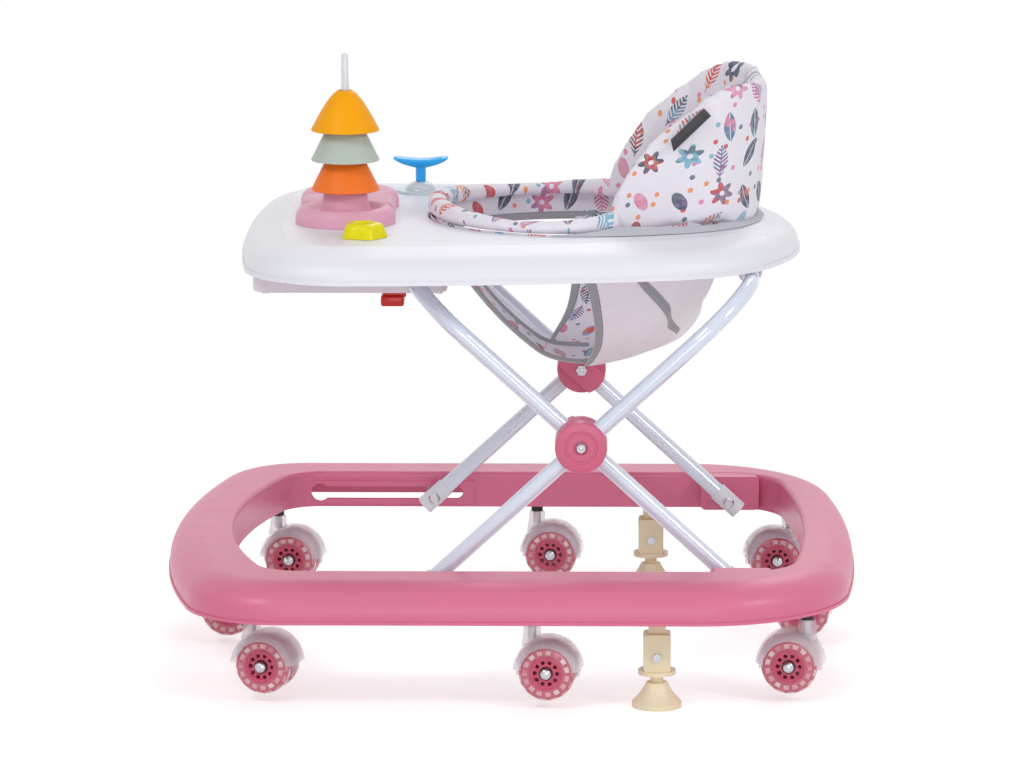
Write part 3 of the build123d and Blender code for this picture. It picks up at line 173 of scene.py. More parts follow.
# %% Floor
floor_reach = 30.0
floor_glow = 0.45
fade_start = 0.40
fade_end = 0.95
floor_bm = bmesh.new()
bmesh.ops.create_grid(floor_bm, x_segments=1, y_segments=1, size=floor_reach)
floor_mesh = bpy.data.meshes.new("floor")
floor_bm.to_mesh(floor_mesh)
floor_bm.free()
floor = bpy.data.objects.new("floor", floor_mesh)
scene.collection.objects.link(floor)
floor_material, floor_shader, floor_place = start_material("floor_white")
floor_tree = floor_material.node_tree
wire(floor_shader, Base_Color=(0.9, 0.9, 0.9, 1), Roughness=0.9, Specular_IOR_Level=0.0)
seen = shown_to_camera(floor_tree)
glow = add_node(floor_tree, "Emission", Strength=times(seen, floor_glow))
lit_floor = filled(add_node(floor_tree, "AddShader"), floor_shader.outputs[0], glow.outputs[0])
from_middle = add_node(floor_tree, "VectorMath", {"operation": "LENGTH"}, Vector=floor_place)
far_off = add_node(
    floor_tree, "MapRange", {"interpolation_type": "SMOOTHSTEP"}, Value=from_middle.outputs["Value"],
    From_Min=fade_start, From_Max=fade_end,
)
white = add_node(floor_tree, "Emission", Strength=1.0)
fade = times(seen, far_off.outputs[0])
faded_floor = filled(add_node(floor_tree, "MixShader"), fade, lit_floor, white.outputs[0])
wire(floor_tree.nodes["Material Output"], Surface=faded_floor)
floor_mesh.materials.append(floor_material)
print("floor fades to white from", fade_start, "to", fade_end, "m")

# %% Lamps
def lamp(name, place, aim, size, power):
    """A square lamp that looks at a point."""
    data = bpy.data.lights.new(name, "AREA")
    data.size = size
    data.energy = power
    holder = bpy.data.objects.new(name, data)
    holder.location = place
    holder.rotation_euler = (Vector(aim) - Vector(place)).to_track_quat("-Z", "Y").to_euler()
    scene.collection.objects.link(holder)


middle = (0.0, 0.0, 0.3)
lamp("key", (-1.6, -2.2, 2.6), middle, 0.7, 21.0)
lamp("fill", (2.2, -1.8, 1.8), middle, 0.8, 17.0)
lamp("back", (0.4, 2.2, 2.4), middle, 1.6, 18.0)
lamp("front", (0.2, -3.4, 0.5), middle, 1.4, 15.0)
print("lamps aim at", middle)

# %% [markdown]
# ## Finishes
# Most of the walker is moulded plastic: satin pink for the base, satin white for the tray,
# clear lilac for the casters. One recipe serves them all, and the glossy white paint of the
# tubes too. Slow noise makes the faint unevenness of a moulding, and fine noise the grain that
# breaks up a highlight.

# %% Colours and constants
def tint(red, green, blue):
    """A colour in 0 to 255, as it looks on a screen, made linear for the shader."""
    return tuple((c / 255) ** 2.2 for c in (red, green, blue)) + (1.0,)


def scaled(colour, share):
    """The same colour, lighter or darker."""
    return tuple(min(1.0, c * share) for c in colour[:3]) + (1.0,)


print("a middle grey is", round(tint(128, 128, 128)[0], 3), "in linear light")

# %% Moulded plastic and steel
def noise_on(where, scale, detail, **more):
    """Noise from 0 to 1 on some coordinates."""
    return add_node(where.id_data, "TexNoise", Vector=where, Scale=scale, Detail=detail, **more).outputs[0]


def ranged(value, **limits):
    """A value taken from one range to another."""
    return add_node(value.id_data, "MapRange", Value=value, **limits).outputs[0]


def bumped(height, strength, distance):
    """A normal that follows a height."""
    return add_node(height.id_data, "Bump", Height=height, Strength=strength, Distance=distance).outputs[0]


CLOUD_SCALE = 7.0
SMEAR_SCALE = 38.0
GRAIN_SCALE = 1400.0
GRAIN_DEPTH = 0.0002
SMEAR = 0.06


def moulded(name, colour, roughness, grain=0.12, unevenness=0.05, **constants):
    """Moulded plastic with faint clouds in its colour and a fine grain."""
    material, shader, where = start_material(name)
    clouds = noise_on(where, CLOUD_SCALE, 3.0)
    smear = noise_on(where, SMEAR_SCALE, 2.0)
    wire(
        shader,
        Base_Color=mixed(clouds, scaled(colour, 1 - unevenness), scaled(colour, 1 + unevenness)),
        Roughness=ranged(smear, To_Min=roughness - SMEAR, To_Max=roughness + SMEAR),
        Normal=bumped(noise_on(where, GRAIN_SCALE, 2.0), grain, GRAIN_DEPTH),
        **constants,
    )
    return material


def plated_steel(name):
    """Zinc-plated steel with fine turning marks."""
    material, shader, where = start_material(name)
    marks = noise_on(where, 420.0, 3.0)
    shade = mixed(marks, tint(168, 170, 176), tint(214, 216, 220))
    wire(shader, Base_Color=shade, Roughness=ranged(marks, To_Min=0.16, To_Max=0.34), Metallic=1.0)
    return material


print("recipes ready: moulded plastic and plated steel")

# %% [markdown]
# The tyres are soft and glassy, moulded with rows of small clear windows. The finish paints the windows
# paler than the walls between them, as painted light of the bright surround seen through them, brighter
# in some cells than in others, and a thin dark line round each as painted shade where its edge bends the
# light. Real windows would need thousands of faces on each of the sixteen tyres, so the finish draws
# them, in brick-like rows, on coordinates that wind round the tyre.

# %% Tyres
def below(value, limit):
    """1 where a value is under a limit."""
    return calc("LESS_THAN", value, limit)


def between(value, low, high):
    """1 where a value lies between two limits."""
    return times(calc("GREATER_THAN", value, low), below(value, high))


TREAD_MAP = "tread"
windows_round = 15
window_start = 0.0172
window_pitch = 0.0068
window_half_round = 0.37
window_half_up = 0.40


def off_middle(count):
    """Distance from the middle of a cell, where a whole number counts the cells."""
    return calc("ABSOLUTE", calc("SUBTRACT", calc("FRACT", count), 0.5))


def tyre_clear(name):
    """Glassy pink tyre with staggered rows of windows on its own coordinates, with painted light through them and
    painted shade round their edges.
    """
    material, shader, where = start_material(name)
    tree = material.node_tree
    wrap = add_node(tree, "UVMap", {"uv_map": TREAD_MAP}).outputs["UV"]
    parts = add_node(tree, "SeparateXYZ", Vector=wrap).outputs
    place = calc("DIVIDE", calc("SUBTRACT", parts["Y"], window_start), window_pitch)
    row = calc("FLOOR", place)
    around = calc("MULTIPLY_ADD", parts["X"], windows_round, times(row, 0.5))
    side = calc("DIVIDE", off_middle(around), window_half_round)
    up = calc("DIVIDE", off_middle(place), window_half_up)
    edge = calc("MAXIMUM", side, up)
    cell = add_node(tree, "CombineXYZ", X=calc("FLOOR", around), Y=row).outputs[0]
    chance = add_node(tree, "TexWhiteNoise", {"noise_dimensions": "2D"}, Vector=cell).outputs["Value"]
    streaks = noise_on(where, 260.0, 2.0)
    window = ranged(edge, From_Min=1.0, From_Max=0.7)
    # painted light: the windows are paler where the bright surround shows through the clear plastic, brighter in
    # some cells than in others
    pale = mixed(chance, tint(226, 132, 148), tint(255, 238, 234))
    pink = mixed(streaks, tint(200, 74, 106), tint(232, 128, 152))
    shade = mixed(times(window, 0.85), pink, pale)
    # painted shade: a thin dark line round each window where its edge bends the light
    line = times(between(edge, 0.86, 1.04), 0.45)
    wire(
        shader, Base_Color=mixed(line, shade, tint(160, 72, 84)),
        Normal=bumped(times(window, chance), 0.6, 0.001),
        Roughness=0.08, IOR=1.45, Transmission_Weight=0.12, Subsurface_Weight=0.35,
        Subsurface_Scale=0.006, Coat_Weight=0.8, Coat_Roughness=0.04,
    )
    return material


print("windows in a row of the tread:", windows_round)

# %% [markdown]
# Each material slot of the frame now gets its finish. Colours are written as they look on a
# screen, with the roughness and the constants that set a plastic apart: a coat for gloss, and
# light that scatters below the surface for soft or clear ones.

# %% Finishes of the parts
SOFT_TOY = dict(Specular_IOR_Level=0.18, Subsurface_Weight=0.12, Subsurface_Scale=0.004)
CLEAR_SHELL = dict(Subsurface_Weight=0.55, Subsurface_Scale=0.012, IOR=1.3, Coat_Weight=0.4)
plastics = {
    "base_pink": ((217, 110, 143), 0.42, dict(grain=0.25, Coat_Weight=0.25, Coat_Roughness=0.3)),
    "hub_pink": ((207, 98, 128), 0.36, {}),
    "tube_white": ((214, 222, 240), 0.14, dict(Coat_Weight=1.0, Coat_Roughness=0.03, Coat_IOR=1.8)),
    "tube_cap": ((226, 228, 236), 0.4, {}),
    "black_plastic": ((34, 32, 34), 0.5, {}),
    "stopper_cream": (
        (245, 231, 198), 0.42, dict(unevenness=0.08, Subsurface_Weight=0.25, Subsurface_Scale=0.008)
    ),
    "caster_hood": ((252, 238, 247), 0.2, dict(Alpha=0.34, **CLEAR_SHELL)),
    "wheel_core": ((214, 88, 120), 0.28, dict(Subsurface_Weight=0.4, Subsurface_Scale=0.006)),
    "tray_white": ((233, 233, 241), 0.44, dict(Coat_Weight=0.12, Coat_Roughness=0.3)),
    "pan_white": ((228, 217, 226), 0.4, {}),
    "red_plastic": ((205, 26, 20), 0.25, {}),
    "board_plastic": ((225, 225, 228), 0.5, {}),
    "dark_plastic": ((54, 54, 58), 0.5, dict(grain=0.3)),
    "toy_pink": ((228, 168, 192), 0.40, SOFT_TOY),
    "toy_clear": ((238, 240, 247), 0.14, dict(Transmission_Weight=0.25, **CLEAR_SHELL)),
    "toy_orange": ((248, 122, 46), 0.42, SOFT_TOY),
    "toy_grey": ((184, 197, 187), 0.42, SOFT_TOY),
    "toy_yellow": ((255, 168, 0), 0.42, SOFT_TOY),
    "toy_blue": ((44, 176, 255), 0.24, dict(Transmission_Weight=0.05, **CLEAR_SHELL)),
    "toy_lemon": ((234, 222, 26), 0.22, SOFT_TOY),
}
finishes = {"steel": plated_steel("steel"), "wheel_tyre": tyre_clear("wheel_tyre")}
for finish, (screen_colour, roughness, constants) in plastics.items():
    finishes[finish] = moulded(finish, tint(*screen_colour), roughness, **constants)
for node_name, node in nodes.items():
    if slot_of_node[node_name] in finishes:
        node.data.materials.clear()
        node.data.materials.append(finishes[slot_of_node[node_name]])
print("finishes:", len(finishes))

# %% [markdown]
# ## Making a piece
# Every new piece starts as a bmesh, is shaped by bmesh operators, and becomes an object at
# the origin that rides on one body of the frame. A turned shape, such as a cup or a disc,
# is a profile that is spun round an axis.

# %% Piece helpers
WELD = 0.01 * MM


def mesh_piece(name, bm, body, slot, stands_for=(), sharp=40, cloth=None):
    """Turn a bmesh into a piece that rides on a body, in a cloth or in the slot's own finish."""
    bmesh.ops.remove_doubles(bm, verts=bm.verts, dist=WELD)
    bmesh.ops.recalc_face_normals(bm, faces=bm.faces)
    mesh = bpy.data.meshes.new(name)
    bm.to_mesh(mesh)
    bm.free()
    mesh.shade_smooth()
    mesh.set_sharp_from_angle(angle=radians(sharp))
    mesh.materials.append(cloth or finishes[slot])
    piece = bpy.data.objects.new(name, mesh)
    scene.collection.objects.link(piece)
    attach(piece, body)
    if stands_for:
        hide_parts(*stands_for)
    print(name, "faces", len(mesh.polygons))
    return piece


def spun(profile, steps=64, closed=False):
    """A shape turned round Z from a profile of (radius, height) in millimetres."""
    bm = bmesh.new()
    verts = [bm.verts.new((radius * MM, 0.0, height * MM)) for radius, height in profile]
    edges = [bm.edges.new(pair) for pair in zip(verts, verts[1:])]
    if closed:
        edges.append(bm.edges.new((verts[-1], verts[0])))
    bmesh.ops.spin(
        bm, geom=verts + edges, cent=(0, 0, 0), axis=(0, 0, 1), angle=2 * pi, steps=steps, use_merge=True
    )
    bmesh.ops.remove_doubles(bm, verts=bm.verts, dist=WELD)
    return bm


def moved(bm, matrix):
    """The same bmesh in another place."""
    bmesh.ops.transform(bm, matrix=matrix, verts=bm.verts)
    return bm


def merged(target, bm):
    """Add one bmesh to another."""
    mesh = bpy.data.meshes.new("part")
    bm.to_mesh(mesh)
    bm.free()
    target.from_mesh(mesh)
    bpy.data.meshes.remove(mesh)


def softened(bm, edges, offset, segments, clamp=False):
    """Round off some edges."""
    bmesh.ops.bevel(
        bm, geom=edges, offset=offset, offset_type="OFFSET", segments=segments, profile=0.5, affect="EDGES",
        material=-1, clamp_overlap=clamp,
    )


def rod(radius, depth, segments):
    """A closed upright cylinder round the origin."""
    bm = bmesh.new()
    bmesh.ops.create_cone(bm, cap_ends=True, segments=segments, radius1=radius, radius2=radius, depth=depth)
    return bm


def sharper_than(bm, degrees):
    """The edges whose faces meet at more than an angle."""
    return [edge for edge in bm.edges if edge.calc_face_angle(0) > radians(degrees)]


def sliced(bm, point, normal, **cleared):
    """Cut a shape by a plane, and clear one side of it where that is asked."""
    everything = bm.verts[:] + bm.edges[:] + bm.faces[:]
    bmesh.ops.bisect_plane(bm, geom=everything, plane_co=point, plane_no=normal, **cleared)


def capped(bm):
    """Close the open edges of a shape."""
    bmesh.ops.holes_fill(bm, edges=[edge for edge in bm.edges if edge.is_boundary])


def new_verts(made):
    """The points among what an operator made."""
    return [part for part in made["geom"] if isinstance(part, bmesh.types.BMVert)]


def frame_at(origin, x_axis, y_axis):
    """A matrix from its origin and two axes."""
    z_axis = x_axis.cross(y_axis)
    matrix = Matrix((x_axis, y_axis, z_axis)).transposed().to_4x4()
    matrix.translation = origin
    return matrix


print("helpers ready")

# %% [markdown]
# ## Casters
# Each caster has a clear lilac hood: a curved band over both wheels, a thin web between
# them and a sleeve round the stem. The band is a rounded strip spun half a turn round the
# axle, because a real one is moulded as a fender with soft edges. The tyres, the rims of the
# wheel cores, the axle caps and the rings behind them are turned parts, so each is a profile
# spun round the axle, once for each side.

# %% Profiles of a caster
UP = Vector((0, 0, 1))
hood_strip = [
    (-19.6, 24.6), (-20.4, 26.4), (-19.4, 29.8), (-16.4, 32.2), (-12.0, 33.0), (12.0, 33.0), (16.4, 32.2),
    (19.4, 29.8), (20.4, 26.4), (19.6, 24.6), (19.6, 26.6), (18.2, 29.2), (15.6, 30.8), (11.4, 31.4),
    (-11.4, 31.4), (-15.6, 30.8), (-18.2, 29.2), (-19.6, 26.6),
]
hood_skirt_angle = radians(-5)
hood_middle = 0.0318
hood_over_stem = 0.029
sleeve_profile = [
    (0.0, 43.0), (8.0, 43.0), (8.4, 41.0), (8.6, 36.0), (9.2, 31.0), (10.6, 24.0), (11.6, 10.0),
    (0.0, 10.0),
]
web_radius = 0.031
web_thickness = 0.006
web_bottom = -0.006
tyre_side = 0.019
tyre_profile = [
    (16.2, 4.4), (24.6, 4.4), (26.4, 5.8), (27.0, 8.4), (27.0, 14.0), (26.3, 16.6), (24.4, 18.4),
    (21.6, 19.0), (16.2, 19.0),
]
rim_profile = [(14.5, 4.6), (14.5, 19.3), (15.0, 19.8), (15.9, 19.8), (16.4, 19.3), (16.4, 4.6)]
cap_profile = [(0.0, 24.2), (2.4, 23.9), (4.4, 23.0), (5.6, 21.6), (5.8, 18.4), (0.0, 18.4)]
ring_profile = [(5.6, 20.0), (6.5, 20.0), (6.7, 18.4), (5.6, 18.2)]


def wound(bm):
    """Give a tyre coordinates round its axle, in turns, and over its side and tread, in metres."""
    layer = bm.loops.layers.uv.new(TREAD_MAP)
    for face in bm.faces:
        at = face.calc_center_median()
        start = atan2(at.z, at.x)
        for loop in face.loops:
            x, y, z = loop.vert.co
            turn = start + remainder(atan2(z, x) - start, 2 * pi)
            loop[layer].uv = (turn / (2 * pi), hypot(x, z) + tyre_side - abs(y))


print("tyre radius", max(radius for radius, height in tyre_profile), "mm")

# %% Eight casters
wheel_turnings = [
    ("tyres", tyre_profile, 60, True, "wheel_tyre"),
    ("core_rims", rim_profile, 48, True, "wheel_core"),
    ("axle_caps", cap_profile, 32, False, "steel"),
    ("axle_rings", ring_profile, 32, True, "black_plastic"),
]
caster_names = [name[len("swivel_"):] for name in joints if name.startswith("swivel_")]
for name in caster_names:
    stem = Vector(joints["swivel_" + name]["pos_m"])
    axle_point = Vector(joints["roll_" + name]["pos_m"])
    ahead = (axle_point - stem) * Vector((1, 1, 0))
    ahead.normalize()
    wheel_frame = frame_at(axle_point, ahead, UP.cross(ahead))
    hood = bmesh.new()
    strip = [hood.verts.new((radius * MM, width * MM, 0)) for width, radius in hood_strip]
    rim = [hood.edges.new(pair) for pair in zip(strip, strip[1:] + strip[:1])]
    bmesh.ops.rotate(hood, cent=(0, 0, 0), matrix=Matrix.Rotation(hood_skirt_angle, 3, "Y"), verts=strip)
    bmesh.ops.spin(
        hood, geom=strip + rim, cent=(0, 0, 0), axis=(0, -1, 0), angle=pi + 2 * hood_skirt_angle, steps=28
    )
    capped(hood)
    web = moved(rod(web_radius, web_thickness, 40), Matrix.Rotation(pi / 2, 4, "X"))
    sliced(web, (0, 0, web_bottom), (0, 0, -1), clear_outer=True)
    capped(web)
    merged(hood, web)
    stem_gap = (stem - axle_point).dot(ahead)
    sleeve = moved(spun(sleeve_profile, 32), Matrix.Translation((stem_gap, 0, 0)))
    outward = Vector((stem_gap, 0, hood_over_stem)).normalized()
    sliced(sleeve, outward * hood_middle, outward, clear_inner=True)
    capped(sleeve)
    merged(hood, sleeve)
    body = "caster_" + name
    mesh_piece("hood_" + name, moved(hood, wheel_frame), body, "caster_hood", [body + "_hood"])
    for turning, profile, steps, closed, slot in wheel_turnings:
        pair = bmesh.new()
        for turn in (pi / 2, -pi / 2):
            merged(pair, moved(spun(profile, steps, closed), Matrix.Rotation(turn, 4, "X")))
        replaced = []
        if turning == "tyres":
            wound(pair)
            replaced = [f"caster_{name}_tyres"]
        mesh_piece(f"{turning}_{name}", moved(pair, wheel_frame), "wheels_" + name, slot, replaced)

# %% [markdown]
# ## Hubs where the legs cross
# A pink disc covers each crossing. The outer disc is turned, with a raised ring and a
# rounded rim, and the inner disc has a raised band along its tube, so one is spun and the
# other is cut across and extruded.

# %% Hub discs
hub_point = Vector(joints["leg_cross"]["pos_m"])
disc_profile = [
    (0.0, 20.2), (6.4, 20.2), (7.0, 20.8), (13.2, 20.8), (13.8, 20.2), (15.6, 20.2), (16.2, 21.0),
    (22.4, 21.0), (24.2, 20.3), (25.0, 18.6), (25.0, 1.2), (24.2, 0.3), (0.0, 0.3),
]
dome_profile = [(0.0, 4.4), (2.4, 4.0), (4.4, 2.6), (5.4, 0.6), (5.4, -0.6), (0.0, -0.6)]
dome_seat = 20.2 * MM
disc_radius = 0.025
disc_depth = 0.0125
band_half = 0.0125
band_rise = 0.008
outer_disc_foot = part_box("hub_outer_discs")[1].y - 21 * MM
inner_disc_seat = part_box("hub_inner_discs")[1].y - disc_depth
outer_discs = bmesh.new()
bolt_domes = bmesh.new()
inner_discs = bmesh.new()
leg_line = hub_point - Vector(joints["fold"]["pos_m"])
leg_lean = atan2(leg_line.z, leg_line.x)
for side in (-1, 1):
    facing = frame_at(
        Vector((hub_point.x, side * outer_disc_foot, hub_point.z)), Vector((1, 0, 0)), Vector((0, 0, -side))
    )
    merged(outer_discs, moved(spun(disc_profile, 72), facing))
    merged(bolt_domes, moved(spun(dome_profile, 32), facing @ Matrix.Translation((0, 0, dome_seat))))
    disc = moved(rod(disc_radius, disc_depth, 72), Matrix.Translation((0, 0, -disc_depth / 2)))
    for edge_at in (-band_half, band_half):
        sliced(disc, (0, edge_at, 0), (0, 1, 0))
    band = [
        face for face in disc.faces
        if face.calc_center_median().z > -MM * 0.1 and abs(face.calc_center_median().y) < band_half
    ]
    raised = bmesh.ops.extrude_face_region(disc, geom=band)
    bmesh.ops.translate(disc, vec=(0, 0, band_rise), verts=new_verts(raised))
    bmesh.ops.delete(disc, geom=band, context="FACES_ONLY")
    softened(disc, sharper_than(disc, 50), 0.0008, 2, clamp=True)
    inward = frame_at(
        Vector((hub_point.x, side * inner_disc_seat, hub_point.z)),
        Vector((cos(leg_lean), 0, sin(leg_lean))),
        Vector((-side * sin(leg_lean), 0, side * cos(leg_lean))),
    )
    merged(inner_discs, moved(disc, inward))
    merged(bolt_domes, moved(spun(dome_profile, 32), inward @ Matrix.Translation((0, 0, band_rise))))
mesh_piece("hub_outer", outer_discs, "outer_legs", "hub_pink", ["hub_outer_discs"])
mesh_piece("hub_inner", inner_discs, "inner_legs", "hub_pink", ["hub_inner_discs"])
mesh_piece("hub_bolt_domes", bolt_domes, "outer_legs", "steel")

# %% [markdown]
# ## Toys on the tray
# The stacking cups are thin turned cones that sit on a pink base. The yellow one is a bell.
# They are spun from profiles, which is how a lathe would make them, and the base is two
# rolled lobes with a short waist between them.

# %% Stacking toy
stack_low, stack_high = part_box("cup_orange")
stack_axis = Vector(((stack_low.x + stack_high.x) / 2, (stack_low.y + stack_high.y) / 2, 0))
tray_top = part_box("toy_base")[0].z
cone_cup = [
    (6.2, 38.0), (11.6, 38.0), (12.6, 37.4), (19.4, 29.0), (33.2, 1.4), (33.5, 0.6), (33.0, 0.0),
    (31.6, 0.2), (28.4, 8.8), (6.2, 9.0),
]
bell_cup = [
    (6.2, 39.6), (7.4, 39.4), (11.3, 36.2), (15.4, 31.6), (19.2, 26.4), (23.2, 19.8), (27.4, 12.4),
    (33.2, 1.4), (33.5, 0.6), (33.0, 0.0), (31.6, 0.2), (28.4, 8.8), (6.2, 9.0),
]
for colour, body, profile in (
    ("orange", "cup_low", cone_cup), ("grey", "cup_middle", cone_cup), ("yellow", "cup_top", bell_cup),
):
    node_name = "cup_" + colour
    seat = stack_axis + Vector((0, 0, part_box(node_name)[0].z))
    cup = moved(spun(profile, 80, closed=True), Matrix.Translation(seat))
    mesh_piece("stacking_" + node_name, cup, body, "toy_" + colour, [node_name])
boss_lobe = [
    (5.2, 41.0), (19.0, 41.0), (19.6, 40.2), (24.2, 12.4), (25.6, 10.6), (28.4, 10.8), (32.0, 13.6),
    (36.0, 16.2), (40.0, 17.0), (44.0, 15.6), (47.4, 11.8), (49.0, 6.6), (49.0, 0.2), (5.2, 0.2),
]
plain_lobe = [
    (0.0, 12.2), (14.0, 12.4), (26.0, 13.4), (34.0, 16.0), (40.0, 17.0), (44.0, 15.6), (47.4, 11.8),
    (49.0, 6.6), (49.0, 0.2), (0.0, 0.2),
]
toy_base = bmesh.new()
near_lobe = stack_axis + Vector((0, 0, tray_top))
far_lobe = near_lobe * Vector((1, -1, 1))
merged(toy_base, moved(spun(boss_lobe, 80, closed=True), Matrix.Translation(near_lobe)))
merged(toy_base, moved(spun(plain_lobe, 80), Matrix.Translation(far_lobe)))
waist_size = Vector((0.093, 0.062, 0.0165))
waist_gap = 0.0002
waist_round = 0.009
waist_middle = Vector((stack_axis.x, 0, tray_top + waist_size.z / 2 + waist_gap))
waist = bmesh.new()
bmesh.ops.create_cube(waist, size=1.0, matrix=Matrix.Diagonal((*waist_size, 1)))
waist_top = [edge for edge in waist.edges if all(vert.co.z > 0 for vert in edge.verts)]
softened(waist, waist_top, waist_round, 5)
merged(toy_base, moved(waist, Matrix.Translation(waist_middle)))
mesh_piece("toy_lobes", toy_base, "tray", "toy_pink", ["toy_base"])

# %% [markdown]
# The blue spinner is a soft two-bladed wing on a stem. The wing is a ball drawn out sideways
# and lifted towards its tips, since a ball keeps the rounded edges of a soft moulding.

# %% Spinner
spinner_low, spinner_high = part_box("spinner_rotor")
spinner_axis = Vector(joints["spinner_turn"]["pos_m"])
wing_reach = (spinner_high.x - spinner_low.x) / 2
blade_half_width = 0.0085
blade_fullness = 0.45
blade_drop = 0.006
tip_lift = 0.0026
tip_width = 0.9
root_depth = 0.0022
tip_depth = 0.0016
keel_depth = 0.006


def squared(value, power=0.75):
    """A share from -1 to 1 with fuller ends."""
    return copysign(abs(value) ** power, value)


rotor = bmesh.new()
bmesh.ops.create_uvsphere(rotor, u_segments=48, v_segments=24, radius=1.0)
for vert in rotor.verts:
    out = min(1.0, abs(vert.co.x))
    deep = root_depth + tip_depth * out
    if vert.co.z < 0:
        deep += keel_depth * (1 - out**0.6)
    vert.co = Vector((
        spinner_axis.x + squared(vert.co.x, blade_fullness) * wing_reach,
        spinner_axis.y + vert.co.y * blade_half_width * (1 + tip_width * out**2),
        spinner_high.z - blade_drop + tip_lift * out + vert.co.z * deep,
    ))
stem_height = (spinner_high.z - spinner_low.z) * 1000 - 5.0
stem_top = stem_height - 5
rotor_stem = [(2.2, 0.0), (5.2, 0.0), (5.2, stem_height * 0.7), (6.4, stem_top), (2.2, stem_top)]
stem_foot = Vector((spinner_axis.x, spinner_axis.y, spinner_low.z))
merged(rotor, moved(spun(rotor_stem, 32, closed=True), Matrix.Translation(stem_foot)))
mesh_piece("spinner_wing", rotor, "spinner", "toy_blue", ["spinner_rotor"], 60)

# %% [markdown]
# The lemon knob is a low rosette with a dished top: a circle pushed into lobes, extruded and
# tapered, then softened and inset.

# %% Knob
knob_low, knob_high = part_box("turning_knob")
knob_axis = Vector(joints["knob_turn"]["pos_m"])
knob_height = knob_high.z - knob_low.z
knob_radius = 0.0215
knob_lobes = 5
lobe_depth = 0.07
knob_taper = 0.80
knob_round = 0.0048
dish_rim = 0.0018
dish_slope = 0.0022
dish_depth = 0.0022
near_top = knob_height * 0.9
knob = bmesh.new()
bmesh.ops.create_circle(knob, cap_ends=True, segments=100, radius=knob_radius)
for vert in knob.verts:
    vert.co *= 1 + lobe_depth * cos(knob_lobes * atan2(vert.co.y, vert.co.x))
top_verts = new_verts(bmesh.ops.extrude_face_region(knob, geom=knob.faces[:]))
bmesh.ops.translate(knob, vec=(0, 0, knob_height), verts=top_verts)
bmesh.ops.scale(knob, vec=(knob_taper, knob_taper, 1), verts=top_verts)
knob_rim = [edge for edge in knob.edges if all(vert.co.z > near_top for vert in edge.verts)]
softened(knob, knob_rim, knob_round, 5)
dish = [face for face in knob.faces if len(face.verts) > 20 and face.calc_center_median().z > near_top]
bmesh.ops.inset_region(knob, faces=dish, thickness=dish_rim)
bmesh.ops.inset_region(knob, faces=dish, thickness=dish_slope, depth=-dish_depth)
bmesh.ops.poke(knob, faces=dish)
moved(knob, Matrix.Translation((knob_axis.x, knob_axis.y, knob_low.z)))
mesh_piece("knob_rosette", knob, "knob", "toy_lemon", ["turning_knob"])

# %% [markdown]
# The red release lever hangs below the pan under the tray, where a hand can reach it. Its pull
# is a small rounded block, made from a cube with soft edges.

# %% Lever pull
lever_low, lever_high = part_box("release_lever")
pull_size = Vector((0.023, 0.028, 0.011))
pull_forward = 0.002
pull_drop = 0.003
pull_middle = Vector(((lever_low.x + lever_high.x) / 2 - pull_forward, 0, lever_low.z - pull_drop))
pull_round = 0.0025
pull_place = Matrix.Translation(pull_middle) @ Matrix.Diagonal((*pull_size, 1))
pull = bmesh.new()
bmesh.ops.create_cube(pull, size=1.0, matrix=pull_place)
softened(pull, pull.edges[:], pull_round, 3)
mesh_piece("lever_pull", pull, "lever", "red_plastic")

# %% [markdown]
# ## Cloths
# The seat is sewn from a printed cotton with a plain lilac-white backing and grey binding
# tape. All of them are woven, so one bump of threads serves them all, and every pattern
# follows the cloth's own flat coordinates.

# %% Cloth helpers
PRINT_MAP = "flat"


def cloth_base(name, roughness, sheen):
    """A cloth material that reads the piece's flat coordinates, in metres."""
    material, shader, where = start_material(name, PRINT_MAP)
    wire(shader, Roughness=roughness, Sheen_Weight=sheen, Sheen_Roughness=0.5, Specular_IOR_Level=0.2)
    return material, shader, where


def weave_bump(shader, where, thread, strength):
    """Over-and-under threads as a bump."""
    parts = add_node(where.id_data, "SeparateXYZ", Vector=where).outputs
    turns = 2 * pi / thread
    warp = calc("SINE", times(parts["X"], turns))
    weft = calc("SINE", times(parts["Y"], turns))
    height = times(warp, weft)
    slubs = noise_on(where, 160.0, 3.0)
    height = calc("ADD", times(height, 0.35), slubs)
    wire(shader, Normal=bumped(height, strength, 0.0004))


print("cloth reads the map", PRINT_MAP)

# %% [markdown]
# The print is a plain scatter of sprigs, leaves, ovals, flowers and dots. Each motif is drawn
# by a few sums in the cell of a Voronoi pattern, so it needs no picture, and the cell's random
# colour chooses the motif, its turn and its ink.

# %% Motifs of the print
def scatter(where, cell, randomness, sway):
    """Places of motifs: x and y inside each cell, and two random numbers of that cell."""
    tree = where.id_data
    spaced = add_node(tree, "VectorMath", {"operation": "SCALE"}, Vector=where, Scale=1 / cell)
    cells = add_node(
        tree, "TexVoronoi", {"voronoi_dimensions": "2D"}, Vector=spaced.outputs[0], Scale=1.0,
        Randomness=randomness,
    )
    minus = add_node(tree, "VectorMath", {"operation": "SUBTRACT"})
    offset = filled(minus, spaced.outputs[0], cells.outputs["Position"])
    chance = add_node(tree, "SeparateColor", Color=cells.outputs["Color"]).outputs
    angle = times(calc("SUBTRACT", chance[1], 0.5), sway)
    turned = add_node(tree, "VectorRotate", {"rotation_type": "Z_AXIS"}, Vector=offset, Angle=angle)
    parts = add_node(tree, "SeparateXYZ", Vector=turned.outputs[0]).outputs
    return parts["X"], parts["Y"], chance[0], chance[2]


def ramp_of(value, colours):
    """One colour out of a row, by a number from 0 to 1."""
    node = add_node(value.id_data, "ValToRGB", Fac=value)
    ramp = node.color_ramp
    ramp.interpolation = "CONSTANT"
    while len(ramp.elements) < len(colours):
        ramp.elements.new(0.5)
    for step, colour in enumerate(colours):
        ramp.elements[step].position = step / len(colours)
        ramp.elements[step].color = colour
    return node.outputs["Color"]


def square_sum(first, second):
    """The sum of two squares."""
    return calc("MULTIPLY_ADD", first, first, times(second, second))


